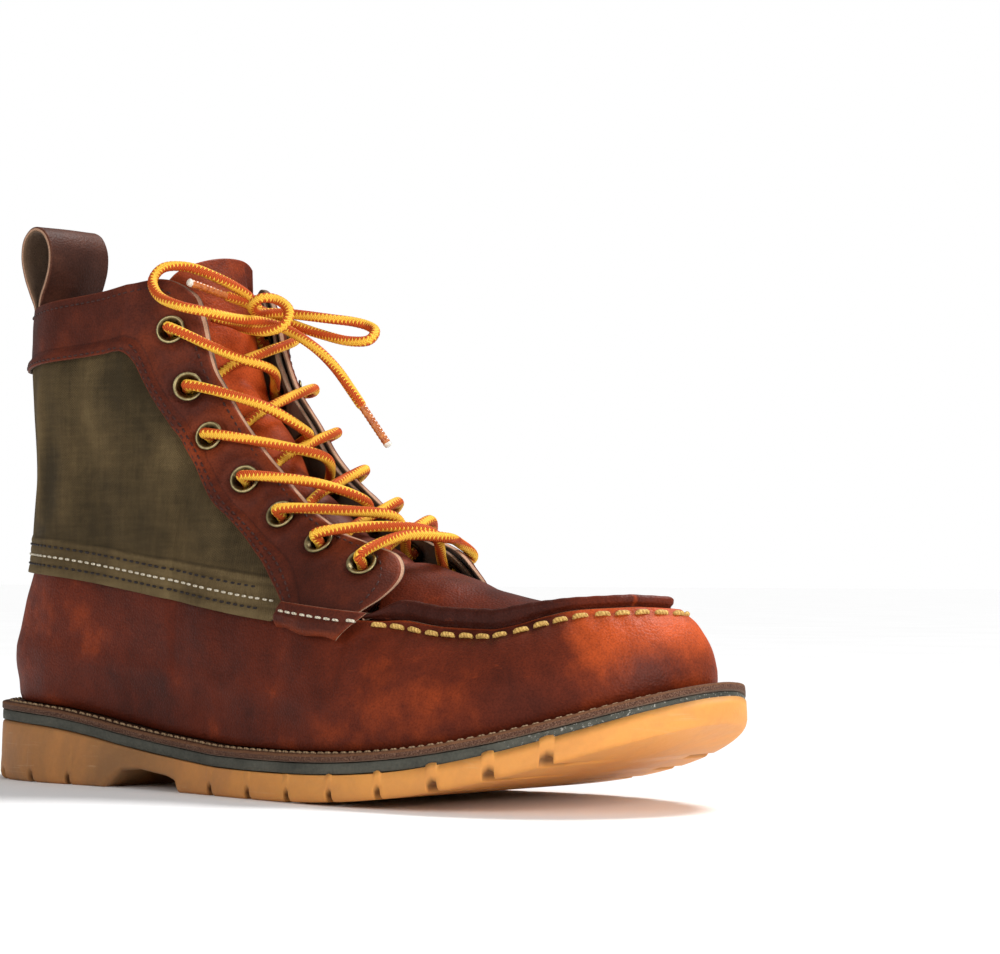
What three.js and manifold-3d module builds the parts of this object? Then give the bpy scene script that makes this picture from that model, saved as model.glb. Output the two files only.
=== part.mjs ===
// Lace-up boot with a moccasin toe: right foot, laced and tied.
// Millimetres, +X toe, +Y medial side, +Z up. Every shape is first laid out with x measured
// forward from the back of the heel; CENTRE moves the finished boot over the origin.
import * as THREE from "three";
import { mergeVertices } from "three/addons/utils/BufferGeometryUtils.js";
import Module from "manifold-3d";

const wasm = await Module();
wasm.setup();

// ---------------------------------------------------------------- driving dimensions
const LENGTH = 305;
const CENTRE = 151.9;
const LATERAL = -1;
const MEDIAL = 1;
const SIDES = [["outer", LATERAL], ["inner", MEDIAL]];

// Plan of the sole edge, heel to toe, x then distance from the centre line.
const EDGE_LATERAL = [[0, 0], [1.2, -10], [5, -20], [14, -30.5], [35, -37], [70, -38], [110, -40],
  [150, -46.5], [190, -52.6], [220, -53.5], [250, -49.5], [277, -38], [293, -23], [302, -6]];
const EDGE_MEDIAL = [[305, 10], [303.5, 21], [296, 33], [278, 44.5], [252, 52], [222, 53.5],
  [190, 48.5], [150, 39.5], [110, 34.5], [70, 35.5], [35, 37], [14, 30.5], [5, 20], [1.2, 10]];

// Sole build-up.
const SPRING_START = 139.6;
const SPRING_RISE = 28.3;
const SPRING_POWER = 2.825;
const EDGE_BEVEL = 2.7;
const WELT_THICK = 2.8;
const MIDSOLE_THICK = 3.4;
const GAP = 0.3;
const WELT_INSIDE = 15;
const INSOLE_INSET = 12.6;
const INSOLE_THICK = 2.6;
const STITCH_INSET = 3.4;
const ARCH = [[75, -2], [77, 1], [85, 6.2], [94, 6.8], [108, 5.2], [113, 3.6], [114.5, -2]];
const LUGS = [17, 37, 57, 133, 154, 175, 196, 217, 238, 257, 274];
const LUG_WIDE = 2.6;
const LUG_DEEP = 3.2;

// Leather and canvas: distances below (-) or above (+) the surface of the foot part.
const VAMP = [-2, 0];
const BACKING = [-1.9, -0.5];
const CANVAS = [0.4, 1.5];
const FACING_BARE = [0.2, 1.9];
const FACING_OVER_CANVAS = [2.2, 3.6];
const FACING_OVER_BACK = [3.8, 5.2];
const TONGUE = [-10, -8.2];
const COUNTER = [-4.5, -3.1];
const HEEL_LINING = [-6.5, -5];

const EYELETS = [[98, 157], [106, 137], [116, 120], [132, 105], [149, 93], [167, 84], [186, 77]];
const EYELET_FLANGE = 5.1;
const EYELET_BARREL = 3.3;
const EYELET_HOLE = 2.6;
const EYELET_ROLLED = 4;
const EYELET_CLEAR = 0.3;
const DISH = 0.05;
const EYELET_ROLL = 0.4;
const PUNCHED_HOLE = 3.55;
const LACE_RADIUS = 1.8;
const TOP_THREAD = 0.9;
const WELT_THREAD = 0.6;

// ---------------------------------------------------------------- small tools
const V = (x, y, z) => new THREE.Vector3(x, y, z);
const clamp = (v, a, b) => Math.min(b, Math.max(a, v));
const mix = (a, b, t) => a + (b - a) * t;
const ease = (a, b, x) => { const t = clamp((x - a) / (b - a), 0, 1); return t * t * (3 - 2 * t); };

// Smooth, never overshooting reading of a short table.
function curve(table) {
  const xs = table.map(p => p[0]);
  const ys = table.map(p => p[1]);
  const last = xs.length - 1;
  const slope = xs.slice(1).map((x, i) => (ys[i + 1] - ys[i]) / (x - xs[i]));
  const tangent = xs.map((_, i) => {
    if (i === 0) return slope[0];
    if (i === last) return slope[last - 1];
    const [a, b] = [slope[i - 1], slope[i]];
    return a * b <= 0 ? 0 : 2 * a * b / (a + b);
  });
  return x => {
    const v = clamp(x, xs[0], xs[last]);
    let i = 0;
    while (i < last - 1 && v > xs[i + 1]) i++;
    const h = xs[i + 1] - xs[i];
    const t = (v - xs[i]) / h;
    const [t2, t3] = [t * t, t * t * t];
    return ys[i] * (2 * t3 - 3 * t2 + 1) + tangent[i] * h * (t3 - 2 * t2 + t)
      + ys[i + 1] * (3 * t2 - 2 * t3) + tangent[i + 1] * h * (t3 - t2);
  };
}

// Closed body from triangles: corners merged, slivers dropped, turned to face outward.
function solid(corners) {
  const loose = new THREE.BufferGeometry();
  const numbers = corners.flatMap(p => [p.x - CENTRE, p.y, p.z]);
  loose.setAttribute("position", new THREE.Float32BufferAttribute(numbers, 3));
  const merged = mergeVertices(loose, 1e-3);
  const index = [...merged.index.array];
  const keep = [];
  for (let i = 0; i < index.length; i += 3) {
    const [a, b, c] = index.slice(i, i + 3);
    if (a !== b && b !== c && c !== a) keep.push(a, b, c);
  }
  const at = merged.attributes.position;
  const corner = k => V(at.getX(k), at.getY(k), at.getZ(k));
  let volume = 0;
  for (let i = 0; i < keep.length; i += 3) {
    volume += corner(keep[i]).dot(corner(keep[i + 1]).cross(corner(keep[i + 2])));
  }
  if (volume < 0) keep.reverse();
  merged.setIndex(keep);
  merged.computeVertexNormals();
  return merged;
}

// Skin of a block of points f(i, j, k); wrap joins the last i back to the first.
function block(ni, nj, nk, f, wrap = false) {
  const corners = [];
  const quad = (a, b, c, d) => corners.push(a, b, c, a, c, d);
  const p = (i, j, k) => f(wrap ? i % ni : i, j, k);
  for (let i = 0; i < ni; i++) {
    for (let j = 0; j < nj; j++) {
      quad(p(i, j, nk), p(i + 1, j, nk), p(i + 1, j + 1, nk), p(i, j + 1, nk));
      quad(p(i, j, 0), p(i, j + 1, 0), p(i + 1, j + 1, 0), p(i + 1, j, 0));
    }
    for (let k = 0; k < nk; k++) {
      quad(p(i, 0, k), p(i + 1, 0, k), p(i + 1, 0, k + 1), p(i, 0, k + 1));
      quad(p(i, nj, k), p(i, nj, k + 1), p(i + 1, nj, k + 1), p(i + 1, nj, k));
    }
  }
  for (let j = 0; !wrap && j < nj; j++) {
    for (let k = 0; k < nk; k++) {
      quad(p(0, j, k), p(0, j, k + 1), p(0, j + 1, k + 1), p(0, j + 1, k));
      quad(p(ni, j, k), p(ni, j + 1, k), p(ni, j + 1, k + 1), p(ni, j, k + 1));
    }
  }
  return solid(corners);
}

// Round cord through the points, with flat ends.
function cordCorners(points, radius, sides, closed = false) {
  const n = points.length;
  const rings = [];
  let normal = null;
  for (let i = 0; i < n; i++) {
    const before = points[closed ? (i + n - 1) % n : Math.max(0, i - 1)];
    const after = points[closed ? (i + 1) % n : Math.min(n - 1, i + 1)];
    const along = after.clone().sub(before).normalize();
    normal = normal ?? (Math.abs(along.z) < 0.9 ? V(0, 0, 1) : V(1, 0, 0));
    normal = normal.clone().addScaledVector(along, -normal.dot(along)).normalize();
    const side = along.clone().cross(normal);
    rings.push(Array.from({ length: sides }, (_, k) => {
      const a = 2 * Math.PI * k / sides;
      return points[i].clone().addScaledVector(normal, radius * Math.cos(a))
        .addScaledVector(side, radius * Math.sin(a));
    }));
  }
  const corners = [];
  for (let i = 0; i < n - (closed ? 0 : 1); i++) {
    for (let k = 0; k < sides; k++) {
      const [a, b] = [rings[i], rings[(i + 1) % n]];
      const m = (k + 1) % sides;
      corners.push(a[k], a[m], b[m], a[k], b[m], b[k]);
    }
  }
  for (let k = 1; !closed && k < sides - 1; k++) {
    corners.push(rings[0][0], rings[0][k + 1], rings[0][k]);
    corners.push(rings[n - 1][0], rings[n - 1][k], rings[n - 1][k + 1]);
  }
  return corners;
}
const cord = (points, radius, sides, closed) => solid(cordCorners(points, radius, sides, closed));

// Rounded route through hand-placed points.
const route = (points, steps) =>
  new THREE.CatmullRomCurve3(points, false, "centripetal").getPoints(steps * (points.length - 1));

function toManifold(geometry) {
  const merged = mergeVertices(new THREE.BufferGeometry()
    .setAttribute("position", geometry.attributes.position).setIndex(geometry.index), 1e-4);
  return new wasm.Manifold(new wasm.Mesh({
    numProp: 3,
    vertProperties: new Float32Array(merged.attributes.position.array),
    triVerts: new Uint32Array(merged.index.array),
  }));
}

function fromManifold(manifold) {
  const mesh = manifold.getMesh();
  const geometry = new THREE.BufferGeometry();
  geometry.setAttribute("position", new THREE.Float32BufferAttribute(mesh.vertProperties, 3));
  geometry.setIndex([...mesh.triVerts]);
  geometry.computeVertexNormals();
  return geometry;
}

const cut = (geometry, tools) =>
  fromManifold(tools.reduce((body, tool) => body.subtract(toManifold(tool)), toManifold(geometry)));

// ---------------------------------------------------------------- shape of the foot
const EDGE_POINTS = [...EDGE_LATERAL, ...EDGE_MEDIAL].map(([x, y]) => V(x, y, 0));
const EDGE_LOOP = new THREE.CatmullRomCurve3(EDGE_POINTS, true, "centripetal")
  .getPoints(4 * EDGE_POINTS.length);

// Signed distance to the sole edge in plan, negative inside.
function fromEdge(x, y) {
  let near = Infinity;
  let inside = false;
  for (let i = 0; i < EDGE_LOOP.length - 1; i++) {
    const [a, b] = [EDGE_LOOP[i], EDGE_LOOP[i + 1]];
    const [dx, dy] = [b.x - a.x, b.y - a.y];
    const t = clamp(((x - a.x) * dx + (y - a.y) * dy) / (dx * dx + dy * dy), 0, 1);
    near = Math.min(near, Math.hypot(x - a.x - t * dx, y - a.y - t * dy));
    if ((a.y > y) !== (b.y > y) && x < a.x + (y - a.y) / dy * dx) inside = !inside;
  }
  return inside ? -near : near;
}

// Underside of the sole, and the top of the welt, over the ground.
const bottomZ = x => SPRING_RISE * Math.max(0, (x - SPRING_START) / (LENGTH - SPRING_START)) ** SPRING_POWER;
const soleThick = curve([[0, 28], [16, 27.8], [45, 26.4], [66, 24], [84, 21.4], [101, 19.2],
  [119, 17.5], [137, 16.2], [180, 15.6], [240, 14.5], [305, 12.7]]);
const weltZ = x => bottomZ(x) + soleThick(x);
// Height that the toe's lean is counted from.
const featherZ = x => 18.6 + 29.6 * Math.max(0, (x - 132) / 173) ** 2.4;

// How far the upper leans in from the sole edge, by height, at the heel, the sides and the toe.
const heelLean = curve([[20, 7], [31, 7], [43, 5.2], [63, 9.3], [77, 14.5], [99, 17], [108, 17.9],
  [134, 16.5], [150, 14.5], [172, 13.5], [215, 12.5]]);
const sideLean = curve([[15, 7], [22, 7], [40, 4.5], [60, 3.5], [80, 4], [110, 4], [140, 1.5],
  [172, -1], [215, -2]]);
const toeLean = curve([[-10, 9.6], [0, 9.6], [2, 9.9], [7, 11.2], [13, 14], [19.5, 18.3], [24, 22.6],
  [30, 30.3], [60, 70]]);
// Height of the instep's centre line, from the tongue's top down to the toe.
const instep = curve([[80, 228], [92, 196], [100, 182], [105, 172], [108.5, 162.4], [115.5, 148],
  [126, 135], [135, 122], [141, 115.3], [148, 109.5], [156, 102.8], [165, 96], [180, 90], [194, 86],
  [203, 80], [212, 75], [225, 73], [240, 73], [255, 74], [270, 76], [283, 78], [310, 80]]);
const crown = x => mix(0.024, 0.007, ease(120, 210, x));
const shoulder = x => mix(34, 9, ease(190, 235, x));

function surface(x, y, z) {
  const toHeel = 1 - ease(4, 48, x);
  const toToe = ease(165, 245, x);
  const lean = mix(mix(sideLean(z), heelLean(z), toHeel), toeLean(z - featherZ(x)), toToe);
  const wall = fromEdge(x, y) + lean;
  const xr = clamp(x, 81, 309);
  const slope = (instep(xr + 1) - instep(xr - 1)) / 2;
  const bend = crown(xr);
  const roof = (z - instep(xr) + bend * y * y) / Math.hypot(1, slope, 2 * bend * y);
  const k = shoulder(xr);
  return Math.max(wall, roof) + Math.max(k - Math.abs(wall - roof), 0) ** 2 / (4 * k);
}

// Stations run from 0 at the back of the heel to 290 at the tip of the toe: the ray's foot and
// heading turn about (55, 0) behind the arch and about (235, 0) ahead of it.
const HEEL_TURN = 55;
const TOE_TURN = 235;
const TIP = TOE_TURN + 55;
const RAY = 80;
function ray(s, side) {
  if (s < HEEL_TURN) {
    const a = Math.PI / 2 * s / HEEL_TURN;
    return [V(HEEL_TURN, 0, 0), V(-Math.cos(a), side * Math.sin(a), 0)];
  }
  if (s > TOE_TURN) {
    const a = Math.PI / 2 * (s - TOE_TURN) / (TIP - TOE_TURN);
    return [V(TOE_TURN, 0, 0), V(Math.sin(a), side * Math.cos(a), 0)];
  }
  return [V(s, 0, 0), V(0, side, 0)];
}

// Where a line leaves the solid bounded by field(point) = level.
function leave(start, heading, reach, level, field) {
  let [a, b] = [0, reach];
  const p = V(0, 0, 0);
  for (let i = 0; i < 22; i++) {
    const m = (a + b) / 2;
    p.copy(start).addScaledVector(heading, m);
    if (field(p) < level) a = m; else b = m;
  }
  return p.clone();
}

const onSurface = p => surface(p.x, p.y, p.z);
// Point of the sole edge drawn in by inset.
function rim(s, side, inset) {
  const [start, heading] = ray(s, side);
  return leave(start, heading, RAY, -inset, p => fromEdge(p.x, p.y));
}
// Point on a side of the upper at a height.
function skin(s, z, side, level) {
  const [start, heading] = ray(s, side);
  return leave(start.setZ(z), heading, RAY, level, onSurface);
}
// Point on the instep: x along the centre line, y across, reached square to the instep.
function over(x, y, level) {
  const slope = (instep(x + 1) - instep(x - 1)) / 2;
  const heading = V(-slope, 0, 1).normalize();
  const start = V(x, y, instep(x)).addScaledVector(heading, -30);
  return leave(start, heading, 50, level, onSurface);
}

const HALF = [0, 7, 14, 21, 28, 35, 42, 49, 55, 70, 88, 106, 124, 142, 160, 178, 192, 197, 204, 214, 224,
  235, 242, 249, 256, 263, 270, 280, 290];
const RING = [...HALF.slice(0, -1).map(s => [s, LATERAL]), ...HALF.slice(1).reverse().map(s => [s, MEDIAL])];

// ---------------------------------------------------------------- sole
// Plate filling the sole edge drawn in by each layer's inset, at each layer's height.
const plate = (stations, layers) => block(stations.length - 1, 1, layers.length - 1, (i, j, k) => {
  const [inset, height] = layers[k];
  const p = rim(stations[i], j ? MEDIAL : LATERAL, inset);
  return p.setZ(height(p.x));
});

// Bar across the sole with the given outline in x and z.
function crossBar(outline, y0, y1) {
  const flat = outline.map(([x, z]) => new THREE.Vector2(x, z));
  const at = (p, y) => V(p.x, y, p.y);
  const corners = [];
  const turn = THREE.ShapeUtils.area(flat);
  for (const face of THREE.ShapeUtils.triangulateShape(flat, [])) {
    if (THREE.ShapeUtils.area(face.map(v => flat[v])) * turn < 0) face.reverse();
    const [a, b, c] = face;
    corners.push(at(flat[a], y0), at(flat[b], y0), at(flat[c], y0));
    corners.push(at(flat[a], y1), at(flat[c], y1), at(flat[b], y1));
  }
  flat.forEach((p, i) => {
    const q = flat[(i + 1) % flat.length];
    corners.push(at(p, y0), at(p, y1), at(q, y1), at(p, y0), at(q, y1), at(q, y0));
  });
  return solid(corners);
}

function lugGroove(x, side) {
  const z = bottomZ(x);
  const [a, b] = [x - LUG_WIDE / 2, x + LUG_WIDE / 2];
  const outline = [[a - 1, z - 6], [b + 1, z - 6], [b, z + LUG_DEEP - 1], [x, z + LUG_DEEP],
    [a, z + LUG_DEEP - 1]];
  const edge = Math.abs(rim(x, side, 0).y);
  return crossBar(outline, side * (edge - 13), side * (edge + 4));
}

function outsole() {
  const body = plate(HALF, [[EDGE_BEVEL * 0.6, bottomZ], [0, x => bottomZ(x) + EDGE_BEVEL],
    [0.5, x => weltZ(x) - WELT_THICK - MIDSOLE_THICK - 2 * GAP]]);
  const lugs = LUGS.flatMap(x => [lugGroove(x, LATERAL), lugGroove(x, MEDIAL)]);
  return cut(body, [crossBar(ARCH, -70, 70), ...lugs]);
}

const midsole = () => plate(HALF, [[0.7, x => weltZ(x) - WELT_THICK - MIDSOLE_THICK - GAP],
  [0.7, x => weltZ(x) - WELT_THICK - GAP]]);

const welt = () => block(RING.length, 1, 1, (i, j, k) => {
  const p = rim(...RING[i], j ? WELT_INSIDE : 0.4);
  return p.setZ(weltZ(p.x) - (k ? 0 : WELT_THICK));
}, true);

const SHANK_FROM = 45;
const SHANK_TO = 150;
const SHANK_HALF_WIDE = 6;
const SHANK_THICK = 1.2;
const shankBlock = (x0, x1, half, low, high) => block(10, 1, 1, (i, j, k) => {
  const x = mix(x0, x1, i / 10);
  return V(x, j ? half : -half, weltZ(x) - WELT_THICK + (k ? high : low));
});
const shank = () => shankBlock(SHANK_FROM, SHANK_TO, SHANK_HALF_WIDE, 0.1, SHANK_THICK);
const corkFiller = () => cut(
  plate(HALF, [[WELT_INSIDE + 0.4, x => weltZ(x) - WELT_THICK], [WELT_INSIDE + 0.4, x => weltZ(x) - GAP]]),
  [shankBlock(SHANK_FROM - 1, SHANK_TO + 1, SHANK_HALF_WIDE + 0.5, -1, SHANK_THICK + 0.3)]);
const insole = () => plate(HALF, [[INSOLE_INSET, x => weltZ(x) + GAP],
  [INSOLE_INSET, x => weltZ(x) + INSOLE_THICK]]);

const weltThread = () => cord(RING.map(([s, side]) => {
  const p = rim(s, side, STITCH_INSET);
  return p.setZ(weltZ(p.x) + WELT_THREAD + GAP);
}), WELT_THREAD, 4, true);

// ---------------------------------------------------------------- foot: vamp, apron, heel
// Top edge of the vamp along the stations: under the canvas at the back, then the apron's seam.
const vampTop = curve([[0, 82], [30, 80], [59, 77], [83, 74], [111, 70], [137, 66], [157, 62.5],
  [175, 59.5], [202, 58], [222, 55.5], [240, 55], [252, 56.5], [265, 59.5], [277, 62], [290, 63]]);
const VAMP_ROWS = [0, 0.2, 0.42, 0.66, 0.85, 1];
const VAMP_LIP = 3.2;
const VAMP_SKIVED = 0.6;
const VAMP_FOOT = 7;
const lipAt = s => VAMP_LIP * ease(196, 208, s) * mix(1, 0.45, ease(245, 280, s));

function vampLower() {
  const rows = VAMP_ROWS.length;
  return block(RING.length, rows, 1, (i, j, k) => {
    const [s, side] = RING[i];
    const foot = weltZ(rim(s, side, VAMP_FOOT).x) + 0.35;
    const row = Math.min(j, rows - 1);
    const level = VAMP[k] - (row > 2 && s < 190 ? VAMP_SKIVED : 0);
    const p = skin(s, mix(foot, vampTop(s), VAMP_ROWS[row]), side, level);
    if (j === rows) p.z += lipAt(s) + 0.3;
    return p;
  }, true);
}

// Raised moccasin seam: the apron's edge stands up along the vamp and folds over it.
const APRON_BACK = 191;
const APRON_PULL = 5;
const APRON_THICK = 1.7;
const ridgeRise = s => 0.8 + 6 * ease(192, 206, s) * mix(1, 0.5, ease(248, 280, s));
const apronZ = curve([[180, 79.6], [190, 76.8], [200, 74], [210, 71.2], [225, 67.5], [240, 65], [255, 64],
  [270, 64.5], [290, 66]]);
const APRON_STATIONS = HALF.filter(s => s > APRON_BACK);
const APRON_RIM = [[0.4, 0], [0.4, 1], [2.4, 1.04], [4.4, 0.7]];
const APRON_MIDDLE = 7;
function seamPoint(s, side, inward, rise) {
  const p = skin(s, vampTop(s), side, VAMP[0]);
  const [, heading] = ray(s, side);
  return p.addScaledVector(heading, -inward).setZ(p.z + rise);
}

function apronPoint(i, j, k) {
  const s = APRON_STATIONS[i];
  const last = 2 * APRON_RIM.length + APRON_MIDDLE;
  const side = j <= last / 2 ? LATERAL : MEDIAL;
  const row = Math.min(j, last - j);
  if (row < APRON_RIM.length) {
    const [inward, share] = APRON_RIM[row];
    const under = k ? [0, 0] : [row < 2 ? APRON_THICK : 0.3, row ? APRON_THICK : 0];
    return seamPoint(s, side, inward + under[0], 0.4 + ridgeRise(s) * share - under[1]);
  }
  const edge = seamPoint(s, side, 6.2, 0);
  const far = seamPoint(s, -side, 6.2, 0);
  const t = (row - APRON_RIM.length) / (APRON_MIDDLE + 1);
  const p = edge.lerp(far, t + 0.5 / (APRON_MIDDLE + 1));
  const inside = Math.sin(Math.PI * t);
  p.z = mix(p.z + ridgeRise(s) * 0.45, Math.max(apronZ(p.x), p.z), inside ** 0.8);
  p.x -= APRON_PULL * inside * (1 - ease(202, 232, s));
  if (p.x < 222) p.z = mix(p.z, apronZ(p.x), inside * (1 - ease(206, 222, p.x)));
  return p.setZ(p.z - (k ? 0 : APRON_THICK));
}
const apron = () => block(APRON_STATIONS.length - 1, 2 * APRON_RIM.length + APRON_MIDDLE, 1, apronPoint);

const apronThread = () => {
  const half = HALF.filter(s => s > APRON_BACK);
  const ring = [...half.map(s => [s, LATERAL]), ...half.slice(0, -1).reverse().map(s => [s, MEDIAL])];
  return cord(ring.map(([s, side]) => skin(s, vampTop(s) - 1.2, side, TOP_THREAD + 0.8)), TOP_THREAD, 5);
};

// Lining pieces inside the heel.
const HEEL_ROWS = 4;
const heelCup = (to, top, levels) => {
  const half = HALF.filter(s => s <= to);
  const ring = [...half.slice(1).reverse().map(s => [s, LATERAL]), ...half.map(s => [s, MEDIAL])];
  const height = curve([[0, top], [40, top - 3], [to, top - 18]]);
  return block(ring.length - 1, HEEL_ROWS, 1, (i, j, k) => {
    const [s, side] = ring[i];
    const foot = weltZ(rim(s, side, 0).x) + INSOLE_THICK + 2 * GAP;
    return skin(s, mix(foot, height(s), j / HEEL_ROWS), side, levels[k]);
  });
};

// ---------------------------------------------------------------- quarters
// Facing and collar in one piece: each pair is a point of the free edge and its partner on the
// edge sewn to the canvas, from the bottom of the lacing up and round to the back.
const FACING = [[[192, 61], [165, 60.5]], [[196.5, 66], [161, 65]], [[198, 72], [155, 71]],
  [[194, 79], [149, 77]], [[183, 83.5], [143, 82]], [[172, 87], [137, 87]], [[160, 93], [130, 92.5]],
  [[150, 100.5], [123, 98]], [[141, 108], [117, 105.5]], [[135, 113.5], [113, 111]],
  [[126, 124], [104, 123]], [[118.5, 133], [97, 132]], [[112, 142], [91, 140]], [[108.5, 150], [87, 146]],
  [[105, 161], [84.5, 148.5]], [[101, 169.5], [82, 149.8]], [[92, 175], [79, 150]],
  [[82, 173.5], [73, 149.3]], [[68, 171.5], [64, 148.7]], [[53, 170.3], [52, 148]],
  [[40, 169.3], [40, 147.3]], [[33, 168.9], [33, 146.9]], [[27, 168.5], [27, 146.5]],
  [[20.5, 168.1], [20.5, 146.1]], [[14, 167.8], [14, 145.8]], [[7, 167.5], [7, 145.4]],
  [[0.4, 167.5], [0.4, 145]]];
const FACING_ACROSS = [0, 0.35, 0.66, 0.82, 0.88, 1];
const BARE_COLUMNS = 3;
const BACK_ROWS = 3;
const BACKING_FROM = 1;

function facingPoint(row, across, side, level) {
  const i = Math.min(Math.floor(row), FACING.length - 2);
  const pair = [0, 1].map(e => [0, 1].map(c => mix(FACING[i][e][c], FACING[i + 1][e][c], row - i)));
  return skin(mix(pair[0][0], pair[1][0], across), mix(pair[0][1], pair[1][1], across), side, level);
}

const facingLevels = (row, column) => {
  if (column <= BARE_COLUMNS) return FACING_BARE;
  return row >= FACING.length - BACK_ROWS ? FACING_OVER_BACK : FACING_OVER_CANVAS;
};

// Canvas quarter: each column runs from a station on its lower edge to a row of the facing.
const CANVAS_LOW = curve([[5, 75], [20, 74], [40, 73], [60, 71], [83, 68], [111, 64], [137, 60],
  [157, 57.8]]);
const CANVAS_COLUMNS = [[6, 25], [13, 24], [20, 23], [27, 22], [33, 21], [39, 20.2], [49, 19], [60, 18],
  [70, 16.5], [78, 15], [86, 13], [94, 11], [103, 9], [113, 7], [122, 5.5], [131, 4], [140, 2.6],
  [149, 1.4], [156, 0.5]];
const CANVAS_UNDER = 0.95;
const CANVAS_RISE = 5;
const canvasQuarter = side => block(CANVAS_COLUMNS.length - 1, CANVAS_RISE, 1, (i, j, k) => {
  const [s, row] = CANVAS_COLUMNS[i];
  const high = facingPoint(row, CANVAS_UNDER, side, CANVAS[k]);
  const highStation = s < HEEL_TURN ? s : high.x;
  const t = j / CANVAS_RISE;
  return skin(mix(s, highStation, t), mix(CANVAS_LOW(s), high.z, t), side, CANVAS[k]);
});

// Middle of an eyelet on the skin, the way straight out of the leather, and how high its flange
// and how deep its rolled end must stand to rest on the curved leather all round.
function eyeletPlace([x, z], side) {
  const at = skin(x, z, side, FACING_BARE[1]);
  const h = 0.5;
  const out = V(
    surface(at.x + h, at.y, at.z) - surface(at.x - h, at.y, at.z),
    surface(at.x, at.y + h, at.z) - surface(at.x, at.y - h, at.z),
    surface(at.x, at.y, at.z + h) - surface(at.x, at.y, at.z - h)).normalize();
  const turn = new THREE.Quaternion().setFromUnitVectors(V(0, 0, 1), out);
  const height = (radius, level, k) => {
    const a = Math.PI * k / 4;
    const foot = V(radius * Math.cos(a), radius * Math.sin(a), -12).applyQuaternion(turn).add(at);
    return leave(foot, out, 24, level, onSurface).distanceTo(foot) - 12;
  };
  const round = [0, 1, 2, 3, 4, 5, 6, 7];
  const seat = Math.max(0, ...round.map(k => height(EYELET_FLANGE, FACING_BARE[1], k)));
  const depth = -Math.min(...round.map(k => height(EYELET_ROLLED, BACKING[0], k)));
  return { at, out, seat, depth };
}

// Lathed body standing on an eyelet's axis; profile is radius and height over the leather.
function turned(profile, segments, { at, out }) {
  const geometry = new THREE.LatheGeometry(profile.map(([r, h]) => new THREE.Vector2(r, h)), segments);
  const turn = new THREE.Quaternion().setFromUnitVectors(V(0, 1, 0), out);
  geometry.applyQuaternion(turn).translate(at.x, at.y, at.z);
  const from = geometry.toNonIndexed().attributes.position;
  return solid(Array.from({ length: from.count }, (_, i) => V(from.getX(i), from.getY(i), from.getZ(i))));
}

// Punched hole, dished on both faces where the eyelet is pressed into the leather.
const punches = side => EYELETS.map(e => {
  const where = eyeletPlace(e, side);
  const [back, front] = [-where.depth - DISH, where.seat + DISH];
  return turned([[0, back - 3], [EYELET_ROLLED + 0.4, back - 3], [EYELET_ROLLED + 0.4, back],
    [PUNCHED_HOLE, back], [PUNCHED_HOLE, front], [EYELET_FLANGE + 0.4, front],
    [EYELET_FLANGE + 0.4, front + 3], [0, front + 3]], 11, where);
});

const facing = side => cut(block(FACING.length - 1, FACING_ACROSS.length - 1, 1,
  (i, j, k) => facingPoint(i, FACING_ACROSS[j], side, facingLevels(i, j)[k])), punches(side));

const BACKING_ACROSS = [0.01, 0.35, 0.7, 1.1];
const backing = side => cut(block(FACING.length - 1 - BACKING_FROM, BACKING_ACROSS.length - 1, 1,
  (i, j, k) => facingPoint(i + BACKING_FROM, BACKING_ACROSS[j], side, BACKING[k])), punches(side));

function eyelet(place, side) {
  const where = eyeletPlace(place, side);
  const back = -where.depth - EYELET_CLEAR;
  const front = where.seat + EYELET_CLEAR;
  return turned([[EYELET_HOLE, back - EYELET_ROLL], [EYELET_ROLLED, back - EYELET_ROLL],
    [EYELET_ROLLED, back], [EYELET_BARREL, back], [EYELET_BARREL, front], [EYELET_FLANGE, front],
    [4.4, front + 0.7], [EYELET_HOLE, front + 0.6], [EYELET_HOLE, back - EYELET_ROLL]], 11, where);
}

// Small leather patch holding the bottom corner of the facing down over the seam.
const TAB_LOW = [[160, 56], [188, 52]];
const TAB_HIGH = [[163, 64.5], [197, 61]];
const TAB_ROWS = [[0, 0.9], [0.28, 3.2], [0.5, 3.9], [1, 3.9]];
const TAB_THICK = 1.2;
const eyestayTab = side => block(6, TAB_ROWS.length - 1, 1, (i, j, k) => {
  const [up, level] = TAB_ROWS[j];
  const [low, high] = [TAB_LOW, TAB_HIGH].map(([from, to]) => from.map((v, c) => mix(v, to[c], i / 6)));
  return skin(mix(low[0], high[0], up), mix(low[1], high[1], up), side, level + TAB_THICK * k);
});

// Strip up the back of the heel, from the welt to inside the collar.
const STRIP_ROWS = [[0.4, 0.6], [33, 0.6], [38, 0.6], [43, 0.6], [48, 0.6], [54, 0.6], [61, 0.6],
  [68, 0.8], [74, 1.9], [84, 1.9], [96, 1.9], [108, 1.9], [121, 1.9], [135, 1.9], [147, 1.9]];
const STRIP_HALF = [12, 7, 0, 7, 12];
const backStrip = () => block(STRIP_ROWS.length - 1, STRIP_HALF.length - 1, 1, (i, j, k) => {
  const [z, level] = STRIP_ROWS[i];
  const height = i ? z : weltZ(0) + z;
  const s = STRIP_HALF[j] * mix(1, 0.85, ease(60, 110, height));
  return skin(s, height, j < 2 ? LATERAL : MEDIAL, level + 1.3 * k);
});

// ---------------------------------------------------------------- tongue and loop
const TONGUE_PATH = [200, 194, 188, 182, 176, 164, 152, 141, 131, 121.5, 113];
const TONGUE_HALF = curve([[113, 25], [140, 26], [180, 24], [200, 22]]);
// Its root runs down under the apron.
const TONGUE_DROP = curve([[160, 0], [178, 0.5], [186, 2.4], [193, 3.8], [200, 4]]);
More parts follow.
